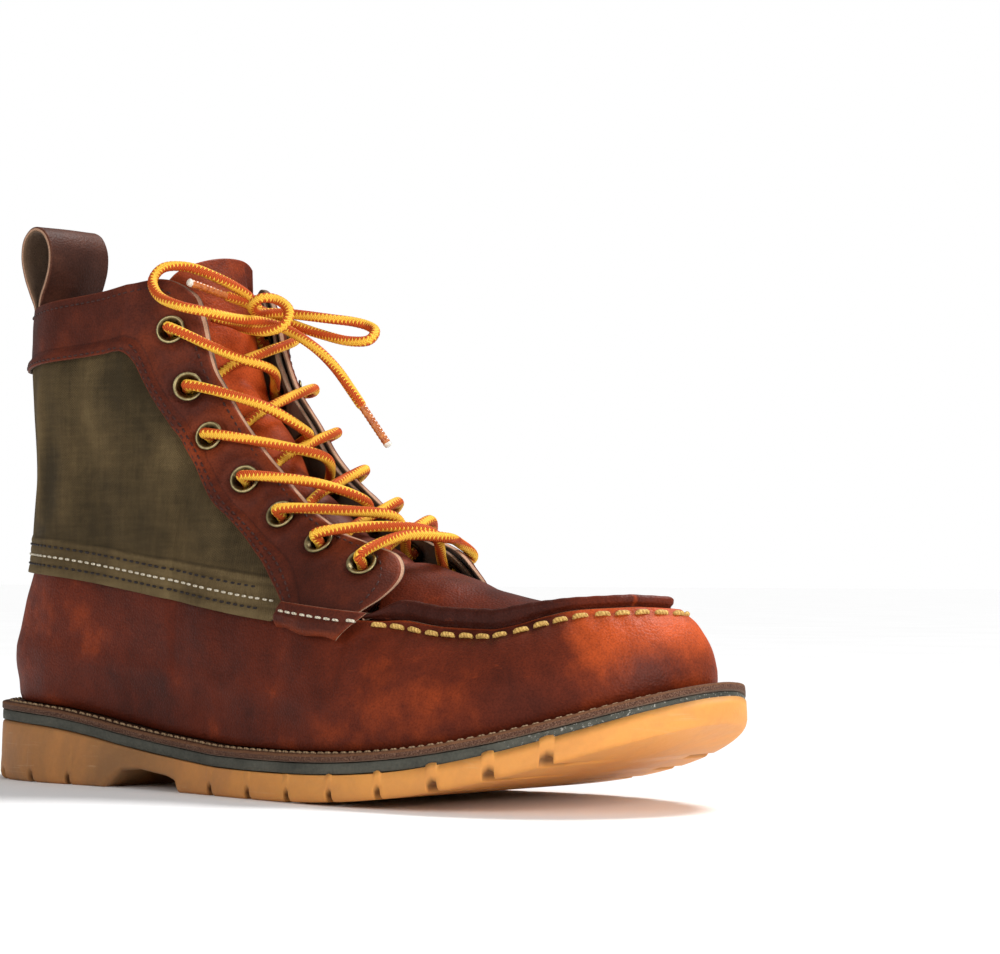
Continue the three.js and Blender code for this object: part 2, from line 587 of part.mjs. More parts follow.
// Its free end stands up nearly flat, highest a little to the medial side.
const TONGUE_FREE_ROWS = 4;
const TONGUE_TOP_HALF = 17.6;
const TONGUE_BACKWARD = V(-0.935, 0, -0.353);
const tongueTop = y => V(91.9 - 0.0075 * (y - 10) ** 2, y, 185 - 0.0114 * (y - 7) ** 2);
const tongue = () => block(TONGUE_PATH.length - 1 + TONGUE_FREE_ROWS, 8, 1, (i, j, k) => {
  const x = TONGUE_PATH[Math.min(i, TONGUE_PATH.length - 1)];
  const across = j / 4 - 1;
  const laid = over(x, TONGUE_HALF(x) * across, TONGUE[k] - TONGUE_DROP(x));
  const behind = k ? 0 : TONGUE[1] - TONGUE[0];
  const top = tongueTop(TONGUE_TOP_HALF * across).addScaledVector(TONGUE_BACKWARD, behind);
  return laid.lerp(top, Math.max(0, i - TONGUE_PATH.length + 1) / TONGUE_FREE_ROWS);
});

// Strap folded into a drop-shaped loop over the collar, seen from the side: x, z.
const LOOP_THICK = 2;
const LOOP_HALF_WIDE = 14;
const LOOP_FOOT = 169.2;
const LOOP_LINE = [[11.6, 171], [9.2, 176], [6.4, 182], [4.8, 189], [6.2, 195.5], [10.8, 199],
  [16, 197.6], [19.2, 192.5], [19.4, 186], [17.4, 179.5], [15, 174.5], [13.9, 171]];
function loopSection() {
  const line = LOOP_LINE.map(([x, z]) => V(x, 0, z));
  const sides = [LOOP_THICK / 2, -LOOP_THICK / 2].map(offset => line.map((p, i) => {
    const dir = line[Math.min(i + 1, line.length - 1)].clone().sub(line[Math.max(i - 1, 0)]).normalize();
    return [p.x - dir.z * offset, p.z + dir.x * offset];
  }));
  const [outer, inner] = sides;
  const stem = [[outer.at(-1)[0], LOOP_FOOT], [outer[0][0], LOOP_FOOT]];
  return { outer, inner: inner.slice(2, -2), stem };
}
const pullLoop = () => {
  const { outer, inner, stem } = loopSection();
  const body = crossBar([...outer, ...stem], -LOOP_HALF_WIDE, LOOP_HALF_WIDE);
  return cut(body, [crossBar(inner, -LOOP_HALF_WIDE - 2, LOOP_HALF_WIDE + 2)]);
};

// Sewn end of the strap, inside the collar.
const loopTail = () => block(6, 4, 1, (i, j, k) =>
  skin(Math.abs(i - 3) * 5.7, 148 + 4.8 * j, i < 3 ? LATERAL : MEDIAL, -4.3 + 1.5 * k));

// ---------------------------------------------------------------- laces
const OVER_FLANGE = 3.7;
const LACE_CLEAR = 2.6;
// Point a given way out along an eyelet's axis; below zero counts from the leather's back.
function through(k, side, height) {
  const { at, out, seat, depth } = eyeletPlace(EYELETS[k], side);
  return at.clone().addScaledVector(out, height < 0 ? height - depth : height + seat);
}

// Where along the instep's centre line a point lies abreast.
function abreast(p) {
  let best = 0;
  for (let x = 90; x < 205; x += 0.5) {
    const gap = Math.hypot(x - p.x, instep(x) - p.z);
    if (!best || gap < Math.hypot(best - p.x, instep(best) - p.z)) best = x;
  }
  return best;
}

// One crossing strand: out of eyelet k, over the middle, under the far facing, up through k + 1.
// Each way across: share of the way down to the next eyelet, distance from the middle, height.
const STRAND_OUTER = [[0.9, 16, 3.8], [1.4, 3, 1.9], [1.15, -10.5, -4.6], [1.0, -15.5, -5.2]];
const STRAND_INNER = [[0.4, 16, 4.2], [0.6, 3, -1.9], [0.8, -10.5, -4.3], [0.9, -15.5, -5]];
function strand(k, side) {
  const from = through(k, side, OVER_FLANGE);
  const to = through(k + 1, -side, -LACE_CLEAR);
  const [a, b] = [abreast(from), abreast(to)];
  const way = side === LATERAL ? STRAND_OUTER : STRAND_INNER;
  const middle = way.map(([share, y, height]) => over(mix(a, b, share), side * y, height));
  return [through(k, side, 0.2), from, ...middle, to];
}

// Where the laced stretch hands over to the tied ends, between the facing's edge and the tongue.
const handOver = side => over(107.5, side * 13, -4.9);
const firstOut = side => over(109, side * 7, -2);
const leaving = side => firstOut(side).sub(handOver(side)).normalize();

function lacedRoute() {
  const last = EYELETS.length - 1;
  const halfWay = side => [handOver(side), handOver(side).addScaledVector(leaving(side), -4),
    through(0, side, -LACE_CLEAR),
    ...EYELETS.slice(0, -1).flatMap((_, k) => strand(k, k % 2 ? -side : side)),
    through(last, side, 0.2), through(last, side, OVER_FLANGE)];
  const bar = [over(192, -14, 2.6), over(197, 0, 2.2), over(193, 14, 2.8)];
  return [...halfWay(LATERAL), ...bar, ...halfWay(MEDIAL).reverse()];
}
const lace = () => cord(route(lacedRoute(), 2), LACE_RADIUS, 5);

// Tied ends: the outer one makes the knot's wrap, the narrow forward loop and the short end; the
// inner one makes the wide loop over the facing's corner and the long hanging end.
const BOW_OUTER = [[114, -8, 157.9], [123.7, -8, 156.7], [129.8, -6, 158.6], [129.3, -3, 163.6],
  [123.5, -3, 167.8], [120.2, -7, 168.3], [115.4, -7, 166.2], [112.9, -2, 163.9],
  [114.8, 3, 164.1], [120.1, 7, 163.8], [134.5, 13.5, 161.7], [140.2, 18, 160.7],
  [144.5, 20.5, 159.3], [149.6, 18.5, 156.8], [150, 15, 153.8], [143.5, 12.5, 153.6],
  [131.2, 10.5, 156.5], [122.5, 8, 159.5], [111.9, 8, 163.2], [106, 5.5, 166.2],
  [105.6, -3, 168.4], [104.7, -10, 170]];
const BOW_INNER = [[107.5, 4.5, 165.3], [106.5, 0, 170.3], [103.3, -12, 175.9], [96.6, -20, 179.5],
  [92, -27, 178.8], [91.3, -31, 174.4], [95.9, -33, 168.8], [105.3, -33, 164.9],
  [113.7, -27, 162.5], [116.6, -15, 160.7], [117.3, -4, 160.4], [121.6, 1, 158.8],
  [128.8, 3, 155.1], [137.4, 4, 149.6], [144.5, 5, 143.2], [149.6, 6, 136.9], [154.3, 8, 129.7]];
const HAND_OVER_GAP = 0.35;

function bowRoute(side, points) {
  const from = handOver(side).addScaledVector(leaving(side), HAND_OVER_GAP);
  return route([from, firstOut(side), ...points.map(([x, y, z]) => V(x, y, z))], 2);
}
const bowRoutes = () => [bowRoute(LATERAL, BOW_OUTER), bowRoute(MEDIAL, BOW_INNER)];
const laceBow = () => {
  const [a, b] = bowRoutes().map(points => toManifold(cord(points, LACE_RADIUS, 6)));
  return fromManifold(a.add(b));
};

const AGLET_LONG = 16;
const AGLET_RADIUS = 1.3;
function aglet(points) {
  const end = points.at(-1);
  const heading = end.clone().sub(points.at(-2)).normalize();
  const from = end.clone().addScaledVector(heading, GAP);
  return cord([from, from.clone().addScaledVector(heading, AGLET_LONG)], AGLET_RADIUS, 8);
}

// ---------------------------------------------------------------- assembly
const group = new THREE.Group();
group.name = "moc_toe_boot";
const LEATHER = 0x5a2a1c;
const finish = (color, roughness, metalness = 0) => ({ color, roughness, metalness });
const LOOK = {
  gum: finish(0xc79a5c, 0.6),
  midsole: finish(0x3d4440, 0.85),
  welt: finish(0x4a3024, 0.7),
  cork: finish(0xa9805a, 0.95),
  steel: finish(0x9a9ea2, 0.4, 1),
  insole: finish(0xb98f66, 0.8),
  leather: finish(LEATHER, 0.5),
  vamp: finish(0x7a3420, 0.5),
  lining: finish(0x8a6a4c, 0.8),
  canvas: finish(0x3f3c2a, 0.95),
  brass: finish(0x8a7038, 0.4, 1),
  lace: finish(0xd9962e, 0.8),
  thread: finish(0xd8b06a, 0.8),
  aglet: finish(0xd8d2c4, 0.2),
};

function add(name, geometry, look) {
  const mesh = new THREE.Mesh(geometry, new THREE.MeshStandardMaterial(LOOK[look]));
  mesh.name = name;
  group.add(mesh);
}

add("outsole", outsole(), "gum");
add("midsole", midsole(), "midsole");
add("welt", welt(), "welt");
add("cork_filler", corkFiller(), "cork");
add("shank", shank(), "steel");
add("insole", insole(), "insole");
add("welt_thread", weltThread(), "thread");
add("vamp_lower", vampLower(), "vamp");
add("apron", apron(), "vamp");
add("apron_thread", apronThread(), "thread");
add("heel_counter", heelCup(72, 68, COUNTER), "lining");
add("heel_lining", heelCup(84, 76, HEEL_LINING), "lining");
for (const [name, side] of SIDES) {
  add(`canvas_quarter_${name}`, canvasQuarter(side), "canvas");
  add(`facing_${name}`, facing(side), "leather");
  add(`facing_backing_${name}`, backing(side), "lining");
  add(`eyestay_tab_${name}`, eyestayTab(side), "leather");
  EYELETS.forEach((place, k) => add(`eyelet_${name}_${k + 1}`, eyelet(place, side), "brass"));
}
add("back_strip", backStrip(), "leather");
add("pull_loop_tail", loopTail(), "leather");
add("pull_loop", pullLoop(), "leather");
add("tongue", tongue(), "leather");
add("lace", lace(), "lace");
add("lace_bow", laceBow(), "lace");
bowRoutes().forEach((points, i) => add(`aglet_${SIDES[i][0]}`, aglet(points), "aglet"));

export default group;
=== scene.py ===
"""Lace-up boot with a moccasin toe, right foot, laced and tied.

Shapes are laid out in millimetres with x measured forward from the back of the heel, as in the CAD
source, and moved into the frame, in metres, when each mesh is made.
"""
import math

import bmesh
import bpy
import numpy as np
from mathutils import Matrix, Vector


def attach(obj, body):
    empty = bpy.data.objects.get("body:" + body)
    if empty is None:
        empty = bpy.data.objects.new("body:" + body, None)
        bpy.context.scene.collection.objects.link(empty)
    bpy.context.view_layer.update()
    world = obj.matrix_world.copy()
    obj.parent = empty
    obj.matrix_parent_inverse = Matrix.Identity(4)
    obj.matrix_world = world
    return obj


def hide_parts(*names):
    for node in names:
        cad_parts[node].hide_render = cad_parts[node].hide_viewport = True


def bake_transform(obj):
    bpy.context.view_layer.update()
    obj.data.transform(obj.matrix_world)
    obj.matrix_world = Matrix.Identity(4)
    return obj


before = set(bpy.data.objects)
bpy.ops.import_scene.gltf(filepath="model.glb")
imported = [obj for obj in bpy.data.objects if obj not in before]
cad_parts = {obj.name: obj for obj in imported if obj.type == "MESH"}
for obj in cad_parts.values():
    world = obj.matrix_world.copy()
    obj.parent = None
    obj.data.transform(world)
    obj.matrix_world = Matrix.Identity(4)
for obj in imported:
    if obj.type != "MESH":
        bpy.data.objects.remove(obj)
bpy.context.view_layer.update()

MM = 0.001
CENTRE = 151.9
LATERAL, MEDIAL = -1, 1
SIDES = (("outer", LATERAL), ("inner", MEDIAL))


# ---------------------------------------------------------------- camera
def add_camera():
    turn, pitch, roll = math.radians(40.112), math.radians(1.922), math.radians(0.2315)
    ahead = Vector((-math.sin(turn) * math.cos(pitch), math.cos(turn) * math.cos(pitch), math.sin(pitch)))
    right = Vector((math.cos(turn), math.sin(turn), 0))
    up = right.cross(ahead)
    right, up = (right * math.cos(roll) + up * math.sin(roll), up * math.cos(roll) - right * math.sin(roll))
    data = bpy.data.cameras.new("camera")
    data.sensor_width, data.lens = 36, 111.63
    camera = bpy.data.objects.new("camera", data)
    rotation = Matrix((right, up, -ahead)).transposed().to_4x4()
    camera.matrix_world = Matrix.Translation((0.7167, -0.7679, 0.07134)) @ rotation
    bpy.context.scene.collection.objects.link(camera)
    bpy.context.scene.camera = camera


add_camera()


# ---------------------------------------------------------------- small tools
def mix(a, b, t):
    return a + (b - a) * t


def ease(a, b, x):
    t = np.clip((x - a) / (b - a), 0, 1)
    return t * t * (3 - 2 * t)


def bell(at, middle, width):
    """Smooth hump, 1 high at the middle."""
    return np.exp(-((at - middle) / width) ** 2)


def curve(table):
    """Smooth, never overshooting reading of a short table."""
    xs, ys = np.array(table, float).T
    slope = np.diff(ys) / np.diff(xs)
    a, b = slope[:-1], slope[1:]
    inner = np.where(a * b <= 0, 0, 2 * a * b / np.where(a + b == 0, 1, a + b))
    tangent = np.concatenate([slope[:1], inner, slope[-1:]])
    fine = np.linspace(xs[0], xs[-1], 4000)
    i = np.clip(np.searchsorted(xs, fine, side="right") - 1, 0, len(xs) - 2)
    h = xs[i + 1] - xs[i]
    t = (fine - xs[i]) / h
    value = (ys[i] * (2 * t**3 - 3 * t**2 + 1) + tangent[i] * h * (t**3 - 2 * t**2 + t)
             + ys[i + 1] * (3 * t**2 - 2 * t**3) + tangent[i + 1] * h * (t**3 - t**2))
    return lambda x: np.interp(x, fine, value)


def catmull(points, steps, closed=False):
    """Rounded route through the points, steps to a stretch."""
    p = np.asarray(points, float)
    pad = np.vstack([p[-1:], p, p[:2]] if closed else [2 * p[0] - p[1], p, 2 * p[-1] - p[-2]])
    t = (np.arange(steps) / steps)[:, None]
    out = []
    for i in range(len(pad) - 3):
        p0, p1, p2, p3 = pad[i:i + 4]
        d0, d1, d2 = (max(np.linalg.norm(b - a) ** 0.5, 1e-4) for a, b in ((p0, p1), (p1, p2), (p2, p3)))
        m1 = ((p1 - p0) / d0 - (p2 - p0) / (d0 + d1) + (p2 - p1) / d1) * d1
        m2 = ((p2 - p1) / d1 - (p3 - p1) / (d1 + d2) + (p3 - p2) / d2) * d1
        out.append(p1 + m1 * t + (3 * (p2 - p1) - 2 * m1 - m2) * t**2 + (2 * (p1 - p2) + m1 + m2) * t**3)
    if not closed:
        out.append(p[-1:])
    return np.vstack(out)


def lengths(points, axis=0):
    step = np.linalg.norm(np.diff(points, axis=axis), axis=-1)
    start = np.zeros_like(np.take(step, [0], axis=axis))
    return np.concatenate([start, np.cumsum(step, axis=axis)], axis=axis)


def resample(points, step):
    """The same line with points that far apart, and each one's distance along it."""
    at = lengths(points)
    even = np.linspace(0, at[-1], max(2, round(at[-1] / step)) + 1)
    return along(points, at, even), even


def along(values, at, where):
    return np.stack([np.interp(where, at, values[:, k]) for k in range(values.shape[1])], -1)


def unit(v):
    return v / np.maximum(np.linalg.norm(v, axis=-1, keepdims=True), 1e-9)


def ripple(u, v, scale, seed):
    """Smooth unevenness, about -1 to 1, the same every run."""
    draws = np.random.default_rng(seed).uniform(-1, 1, (7, 3))
    return sum(np.sin(2 * np.pi * ((a * u + b * v) / scale + c)) for a, b, c in draws) / 3.2


# ---------------------------------------------------------------- shape of the foot
EDGE_LATERAL = [[0, 0], [1.2, -10], [5, -20], [14, -30.5], [35, -37], [70, -38], [110, -40], [150, -46.5],
                [190, -52.6], [220, -53.5], [250, -49.5], [277, -38], [293, -23], [302, -6]]
EDGE_MEDIAL = [[305, 10], [303.5, 21], [296, 33], [278, 44.5], [252, 52], [222, 53.5], [190, 48.5],
               [150, 39.5], [110, 34.5], [70, 35.5], [35, 37], [14, 30.5], [5, 20], [1.2, 10]]
FIELD_STEP = 0.5
FIELD_X, FIELD_Y = np.arange(-40, 346, FIELD_STEP), np.arange(-95, 95.5, FIELD_STEP)


def distance_field():
    """Signed distance to the sole edge in plan, negative inside, on a fine grid."""
    loop = catmull(EDGE_LATERAL + EDGE_MEDIAL, 8, closed=True)
    gx, gy = np.meshgrid(FIELD_X, FIELD_Y, indexing="ij")
    near, inside = np.full(gx.shape, np.inf), np.zeros(gx.shape, bool)
    for a, b in zip(loop, np.roll(loop, -1, 0)):
        d = b - a
        t = np.clip(((gx - a[0]) * d[0] + (gy - a[1]) * d[1]) / (d @ d), 0, 1)
        near = np.minimum(near, (gx - a[0] - t * d[0]) ** 2 + (gy - a[1] - t * d[1]) ** 2)
        if a[1] != b[1]:
            inside ^= ((a[1] > gy) != (b[1] > gy)) & (gx < a[0] + (gy - a[1]) / d[1] * d[0])
    field = np.sqrt(near) * np.where(inside, -1, 1)
    for _ in range(14):
        field[1:-1] = (field[:-2] + 2 * field[1:-1] + field[2:]) / 4
        field[:, 1:-1] = (field[:, :-2] + 2 * field[:, 1:-1] + field[:, 2:]) / 4
    return field


FIELD = distance_field()


def from_edge(x, y):
    u = np.clip((x - FIELD_X[0]) / FIELD_STEP, 0, len(FIELD_X) - 1.001)
    v = np.clip((y - FIELD_Y[0]) / FIELD_STEP, 0, len(FIELD_Y) - 1.001)
    i, j = u.astype(int), v.astype(int)
    u, v = u - i, v - j
    return mix(mix(FIELD[i, j], FIELD[i + 1, j], u), mix(FIELD[i, j + 1], FIELD[i + 1, j + 1], u), v)


def bottom_z(x):
    return 28.3 * np.maximum(0, (x - 139.6) / 165.4) ** 2.825


sole_thick = curve([[0, 28], [16, 27.8], [45, 26.4], [66, 24], [84, 21.4], [101, 19.2], [119, 17.5],
                    [137, 16.2], [180, 15.6], [240, 14.5], [305, 12.7]])


def welt_z(x):
    return bottom_z(x) + sole_thick(x)


heel_lean = curve([[20, 7], [31, 7], [43, 5.2], [63, 9.3], [77, 14.5], [99, 17], [108, 17.9], [134, 16.5],
                   [150, 14.5], [172, 13.5], [215, 12.5]])
side_lean = curve([[15, 7], [22, 7], [40, 4.5], [60, 3.5], [80, 4], [110, 4], [140, 1.5], [172, -1],
                   [215, -2]])
toe_lean = curve([[-10, 9.6], [0, 9.6], [2, 9.9], [7, 11.2], [13, 14], [19.5, 18.3], [24, 22.6],
                  [30, 30.3], [60, 70]])
instep = curve([[80, 228], [92, 196], [100, 182], [105, 172], [108.5, 162.4], [115.5, 148], [126, 135],
                [135, 122], [141, 115.3], [148, 109.5], [156, 102.8], [165, 96], [180, 90], [194, 86],
                [203, 80], [212, 75], [225, 73], [240, 73], [255, 74], [270, 76], [283, 78], [310, 80]])


def surface(p):
    """Distance above (+) or below (-) the bare surface of the foot part."""
    x, y, z = p[..., 0], p[..., 1], p[..., 2]
    feather = 18.6 + 29.6 * np.maximum(0, (x - 132) / 173) ** 2.4
    side = mix(side_lean(z), heel_lean(z), 1 - ease(4, 48, x))
    wall = from_edge(x, y) + mix(side, toe_lean(z - feather), ease(165, 245, x))
    xr = np.clip(x, 81, 309)
    slope = (instep(xr + 1) - instep(xr - 1)) / 2
    bend = mix(0.024, 0.007, ease(120, 210, xr))
    roof = (z - instep(xr) + bend * y * y) / np.sqrt(1 + slope**2 + (2 * bend * y) ** 2)
    k = mix(34, 9, ease(190, 235, xr))
    return np.maximum(wall, roof) + np.maximum(k - np.abs(wall - roof), 0) ** 2 / (4 * k)


def leave(start, heading, reach, level, field):
    """Where lines leave the solid bounded by field = level."""
    a = np.zeros(np.broadcast_shapes(start.shape, heading.shape)[:-1])
    b = a + reach
    for _ in range(21):
        m = (a + b) / 2
        inside = field(start + heading * m[..., None]) < level
        a, b = np.where(inside, m, a), np.where(inside, b, m)
    return start + heading * a[..., None]


TIP = 290


def ray(s, side):
    """Foot and heading of the rays that stations stand for: 0 at the heel's back, 290 at the toe's tip."""
    s, side = np.broadcast_arrays(np.asarray(s, float), side)
    zero = np.zeros_like(s)
    heel, toe = np.pi / 2 * np.clip(s / 55, 0, 1), np.pi / 2 * np.clip((s - 235) / 55, 0, 1)
    start = np.stack([np.clip(s, 55, 235), zero, zero], -1)
    heading = np.stack([np.where(s < 55, -np.cos(heel), np.sin(toe)),
                        side * np.where(s < 55, np.sin(heel), np.cos(toe)), zero], -1)
    return start, heading


def rim(s, side, inset):
    start, heading = ray(s, side)
    return leave(start, heading, 80, -np.asarray(inset, float), lambda p: from_edge(p[..., 0], p[..., 1]))


def skin(s, z, side, level):
    start, heading = ray(*np.broadcast_arrays(s, side))
    shape = np.broadcast_shapes(start.shape[:-1], np.shape(z), np.shape(level))
    start = np.broadcast_to(start, shape + (3,)).copy()
    start[..., 2] = z
    return leave(start, heading, 80, level, surface)


def over(x, y, level):
    x, y, level = np.broadcast_arrays(np.asarray(x, float), y, level)
    slope = (instep(x + 1) - instep(x - 1)) / 2
    heading = unit(np.stack([-slope, 0 * slope, 1 + 0 * slope], -1))
    start = np.stack([x, y, instep(x)], -1) - 30 * heading
    return leave(start, heading, 50, level, surface)


def outward(p):
    """Straight out of the leather at those points."""
    h = 0.6 * np.eye(3)
    return unit(np.stack([surface(p + h[k]) - surface(p - h[k]) for k in range(3)], -1))


# ---------------------------------------------------------------- meshes
def build(name, verts, faces, materials, face_material=None, uv=None, values=None, body="boot", replaces=(),
          slot=None, merge=False):
    """One piece from points in millimetres; uv has a pair for each corner of each face."""
    a, b, c, d = (verts[faces[:, k]] for k in range(4))
    flip = (np.einsum("ij,ij->", a, np.cross(b, c)) + np.einsum("ij,ij->", a, np.cross(c, d))) < 0
    if flip:
        faces = faces[:, ::-1]
        uv = None if uv is None else uv[:, ::-1]
    mesh = bpy.data.meshes.new(name)
    mesh.from_pydata(((verts - [CENTRE, 0, 0]) * MM).tolist(), [], faces.tolist())
    for m in materials:
        mesh.materials.append(m)
    if face_material is not None:
        mesh.polygons.foreach_set("material_index", face_material.astype(np.int32))
    if uv is not None:
        mesh.uv_layers.new(name="flat").data.foreach_set("uv", uv.reshape(-1).astype(np.float32))
    for key, value in (values or {}).items():
        mesh.attributes.new(key, "FLOAT", "POINT").data.foreach_set("value", value.astype(np.float32).ravel())
    if merge:
        work = bmesh.new()
        work.from_mesh(mesh)
        bmesh.ops.remove_doubles(work, verts=work.verts, dist=2e-6)
        work.to_mesh(mesh)
        work.free()
    mesh.shade_smooth()
    mesh.update()
    piece = bpy.data.objects.new(name, mesh)
    bpy.context.scene.collection.objects.link(piece)
    if body:
        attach(piece, body)
    if replaces:
        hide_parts(*replaces)
    return piece


def slab(name, outer, inner, materials, wrap=False, mask=None, values=None, **facts):
    """Closed sheet between two grids of points. Material 0 is its face, 1 its back, 2 its cut edge."""
    ni, nj = outer.shape[:2]
    ci = ni if wrap else ni - 1
    mask = np.ones((ci, nj - 1), bool) if mask is None else mask
    n = ni * nj
    grow = np.zeros((ci + 2, nj + 1), bool)
    grow[1:-1, 1:-1] = mask
    if wrap:
        grow[0], grow[-1] = grow[-2], grow[1]
    core = grow[1:-1, 1:-1]
    quads, kinds = [], []

    def put(corners, kind):
        quads.append(np.stack([np.stack(c, -1) for c in corners], 1))
        kinds.append(np.full(len(corners[0][0]), kind))

    i, j = np.nonzero(core)
    front, back = np.zeros_like(i), np.ones_like(i)
    put([(i, j, front), (i + 1, j, front), (i + 1, j + 1, front), (i, j + 1, front)], 0)
    put([(i, j, back), (i, j + 1, back), (i + 1, j + 1, back), (i + 1, j, back)], 1)
    for missing, (di, dj), (ei, ej) in ((grow[1:-1, :-2], (0, 0), (1, 0)), (grow[1:-1, 2:], (1, 1), (0, 1)),
                                        (grow[:-2, 1:-1], (0, 1), (0, 0)), (grow[2:, 1:-1], (1, 0), (1, 1))):
        i, j = np.nonzero(core & ~missing)
        front, back = np.zeros_like(i), np.ones_like(i)
        here, there = (i + ei, j + ej), (i + di, j + dj)
        put([(*here, front), (*there, front), (*there, back), (*here, back)], 2)
    cells, kinds = np.concatenate(quads), np.concatenate(kinds)
    faces = (cells[..., 0] % ni) * nj + cells[..., 1] + n * cells[..., 2]
    closed = np.concatenate([outer, outer[:1]]) if wrap else outer
    u = lengths(closed, 0).mean(1, keepdims=True) + 0 * closed[..., 0]
    v = lengths(closed, 1)
    uv = np.stack([u[cells[..., 0], cells[..., 1]], v[cells[..., 0], cells[..., 1]]], -1)
    verts = np.concatenate([outer.reshape(-1, 3), inner.reshape(-1, 3)])
    used = np.unique(faces)
    if len(used) < 2 * n:
        remap = np.zeros(2 * n, int)
        remap[used] = np.arange(len(used))
        faces, verts = remap[faces], verts[used]
    both = {key: np.concatenate([np.broadcast_to(value, (ni, nj)).ravel()] * 2)[used]
            for key, value in (values or {}).items()}
    return build(name, verts, faces, materials, kinds, uv, both, **facts)


def spread(length, step, close=(0, 0.1, 0.3, 0.6)):
    """Shares from 0 to 1 across a sheet: even steps, closer together at both edges."""
    even = np.linspace(0, 1, max(2, round(length / step)) + 1)
    tight = np.array(close) / length
    even = even[(even > 1.6 * tight[-1]) & (even < 1 - 1.6 * tight[-1])]
    return np.concatenate([tight, even, 1 - tight[::-1]])


def worn(middle, radius, wrap, ends="ij"):
    """How far each point of a grid lies inside the nearest cut edge, and how far the edge falls away."""
    inside = np.full(middle.shape[:2], 1e3)
    if "j" in ends:
        v = lengths(middle, 1)
        inside = np.minimum(inside, np.minimum(v, v[:, -1:] - v))
    if "i" in ends and not wrap:
        u = lengths(middle, 0)
        inside = np.minimum(inside, np.minimum(u, u[-1:] - u))
    left = np.clip(radius - inside, 0, radius)
    return inside, radius - np.sqrt(np.maximum(radius**2 - left**2, 0))


def sheet(name, s, z, side, low, high, materials, radius, bump=0, wrap=False, snap=None, values=None,
          **facts):
    """Sheet of leather or cloth lying between two levels over the foot part, its cut edges rounded."""
    s, z, side, low, high = np.broadcast_arrays(s, z, side, low, high)
    middle = skin(s, z, side, (low + high) / 2)
    radius = min(radius, 0.45 * float((high - low).min()))
    inside, fall = worn(middle, radius, wrap)
    outer, inner = skin(s, z, side, high - fall + bump), skin(s, z, side, low + fall)
    mask = None
    if snap is not None:
        outer, inner, mask = snap(outer, inner)
    values = {"inside": inside, **(values or {})}
    return slab(name, outer, inner, materials, wrap, mask, values, **facts)


def ring_faces(i, j, far_j, count):
    """Four-cornered faces between neighbouring rings of that many points."""
    return np.stack([i * count + j, i * count + far_j, (i + 1) * count + far_j, (i + 1) * count + j], 1)


def tube(name, path, radius, sides, materials, step=0.4, relief=None, taper=(0, 0), **facts):
    """Round closed tube along a route; relief(distance, share round) is added to its radius."""
    line, at = resample(np.asarray(path, float), step)
    forward = unit(np.gradient(line, axis=0))
    normal = np.zeros_like(line)
    side = np.array([0, 0, 1.0]) if abs(forward[0, 2]) < 0.9 else np.array([1.0, 0, 0])
    for k, f in enumerate(forward):
        side = side - f * (f @ side)
        side /= np.linalg.norm(side)
        normal[k] = side
    cross = np.cross(forward, normal)
    share = np.arange(sides) / sides
    r = np.full((len(line), sides), float(radius))
    if relief is not None:
        r += relief(at[:, None], share[None])
    for end, far in ((taper[0], at), (taper[1], at[-1] - at)):
        if end:
            r *= np.sqrt(np.clip(1 - (1 - np.clip(far / end, 0, 1)) ** 2, 0, 1))[:, None]
    r[0] = r[-1] = 0
    line[0], line[-1] = line[1], line[-2]
    angle = 2 * np.pi * share
    ring = (normal[:, None] * np.cos(angle)[None, :, None] + cross[:, None] * np.sin(angle)[None, :, None])
    verts = (line[:, None] + ring * r[..., None]).reshape(-1, 3)
    i, k = (a.ravel() for a in np.meshgrid(np.arange(len(line) - 1), np.arange(sides), indexing="ij"))
    faces = ring_faces(i, k, (k + 1) % sides, sides)
    uv = np.stack([np.stack([at[i], k / sides], -1), np.stack([at[i], (k + 1) / sides], -1),
                   np.stack([at[i + 1], (k + 1) / sides], -1), np.stack([at[i + 1], k / sides], -1)], 1)
    return build(name, verts, faces, materials, uv=uv, merge=True, **facts)


def stitches(name, rows, material, **facts):
    """Sewing: each row is a line of points, its outward ways, the pitch, each stitch's length and radius."""
    verts, faces, uvs, base = [], [], [], 0
    sides, rings = 8, 9
    t = np.linspace(-1, 1, rings)
    angle = 2 * np.pi * np.arange(sides) / sides
    i, k = (a.ravel() for a in np.meshgrid(np.arange(rings - 1), np.arange(sides), indexing="ij"))
    cell = ring_faces(i, k, (k + 1) % sides, sides)
    corners = ((0, 0), (0, 1), (1, 1), (1, 0))
    pair = np.stack([np.stack([(t[i + a] + 1) / 2, (k + b) / sides], -1) for a, b in corners], 1)
    for row, (line, out, pitch, long, radius, sink) in enumerate(rows):
        at = lengths(line)
        draws = np.random.default_rng(101 + row)
        for centre in np.arange(pitch / 2, at[-1] - long / 2, pitch):
            where = centre + t * long / 2 * draws.uniform(0.93, 1.05) + draws.uniform(-0.06, 0.06) * pitch
            p, up = along(line, at, where), unit(along(out, at, where))
            forward = unit(np.gradient(p, axis=0))
            cross = unit(np.cross(forward, up))
            p = p + up * (radius * (1.15 * np.sqrt(np.clip(1 - t**6, 0, 1)) - 0.75 - sink * t**4))[:, None]
            p = p + cross * (0.12 * radius * draws.uniform(-1, 1) * t)[:, None]
            r = radius * np.sqrt(np.clip(1 - t**4, 0, 1))
            twist = 1 + 0.05 * np.cos(2 * (angle[None] - 3 * t[:, None]))
            ring = cross[:, None] * np.cos(angle)[None, :, None] + up[:, None] * np.sin(angle)[None, :, None]
            verts.append((p[:, None] + ring * (r[:, None] * twist)[..., None]).reshape(-1, 3))
            faces.append(cell + base)
            uvs.append(pair * [long, 1])
            base += rings * sides
    return build(name, np.concatenate(verts), np.concatenate(faces), [material], uv=np.concatenate(uvs),
                 merge=True, slot="thread", **facts)


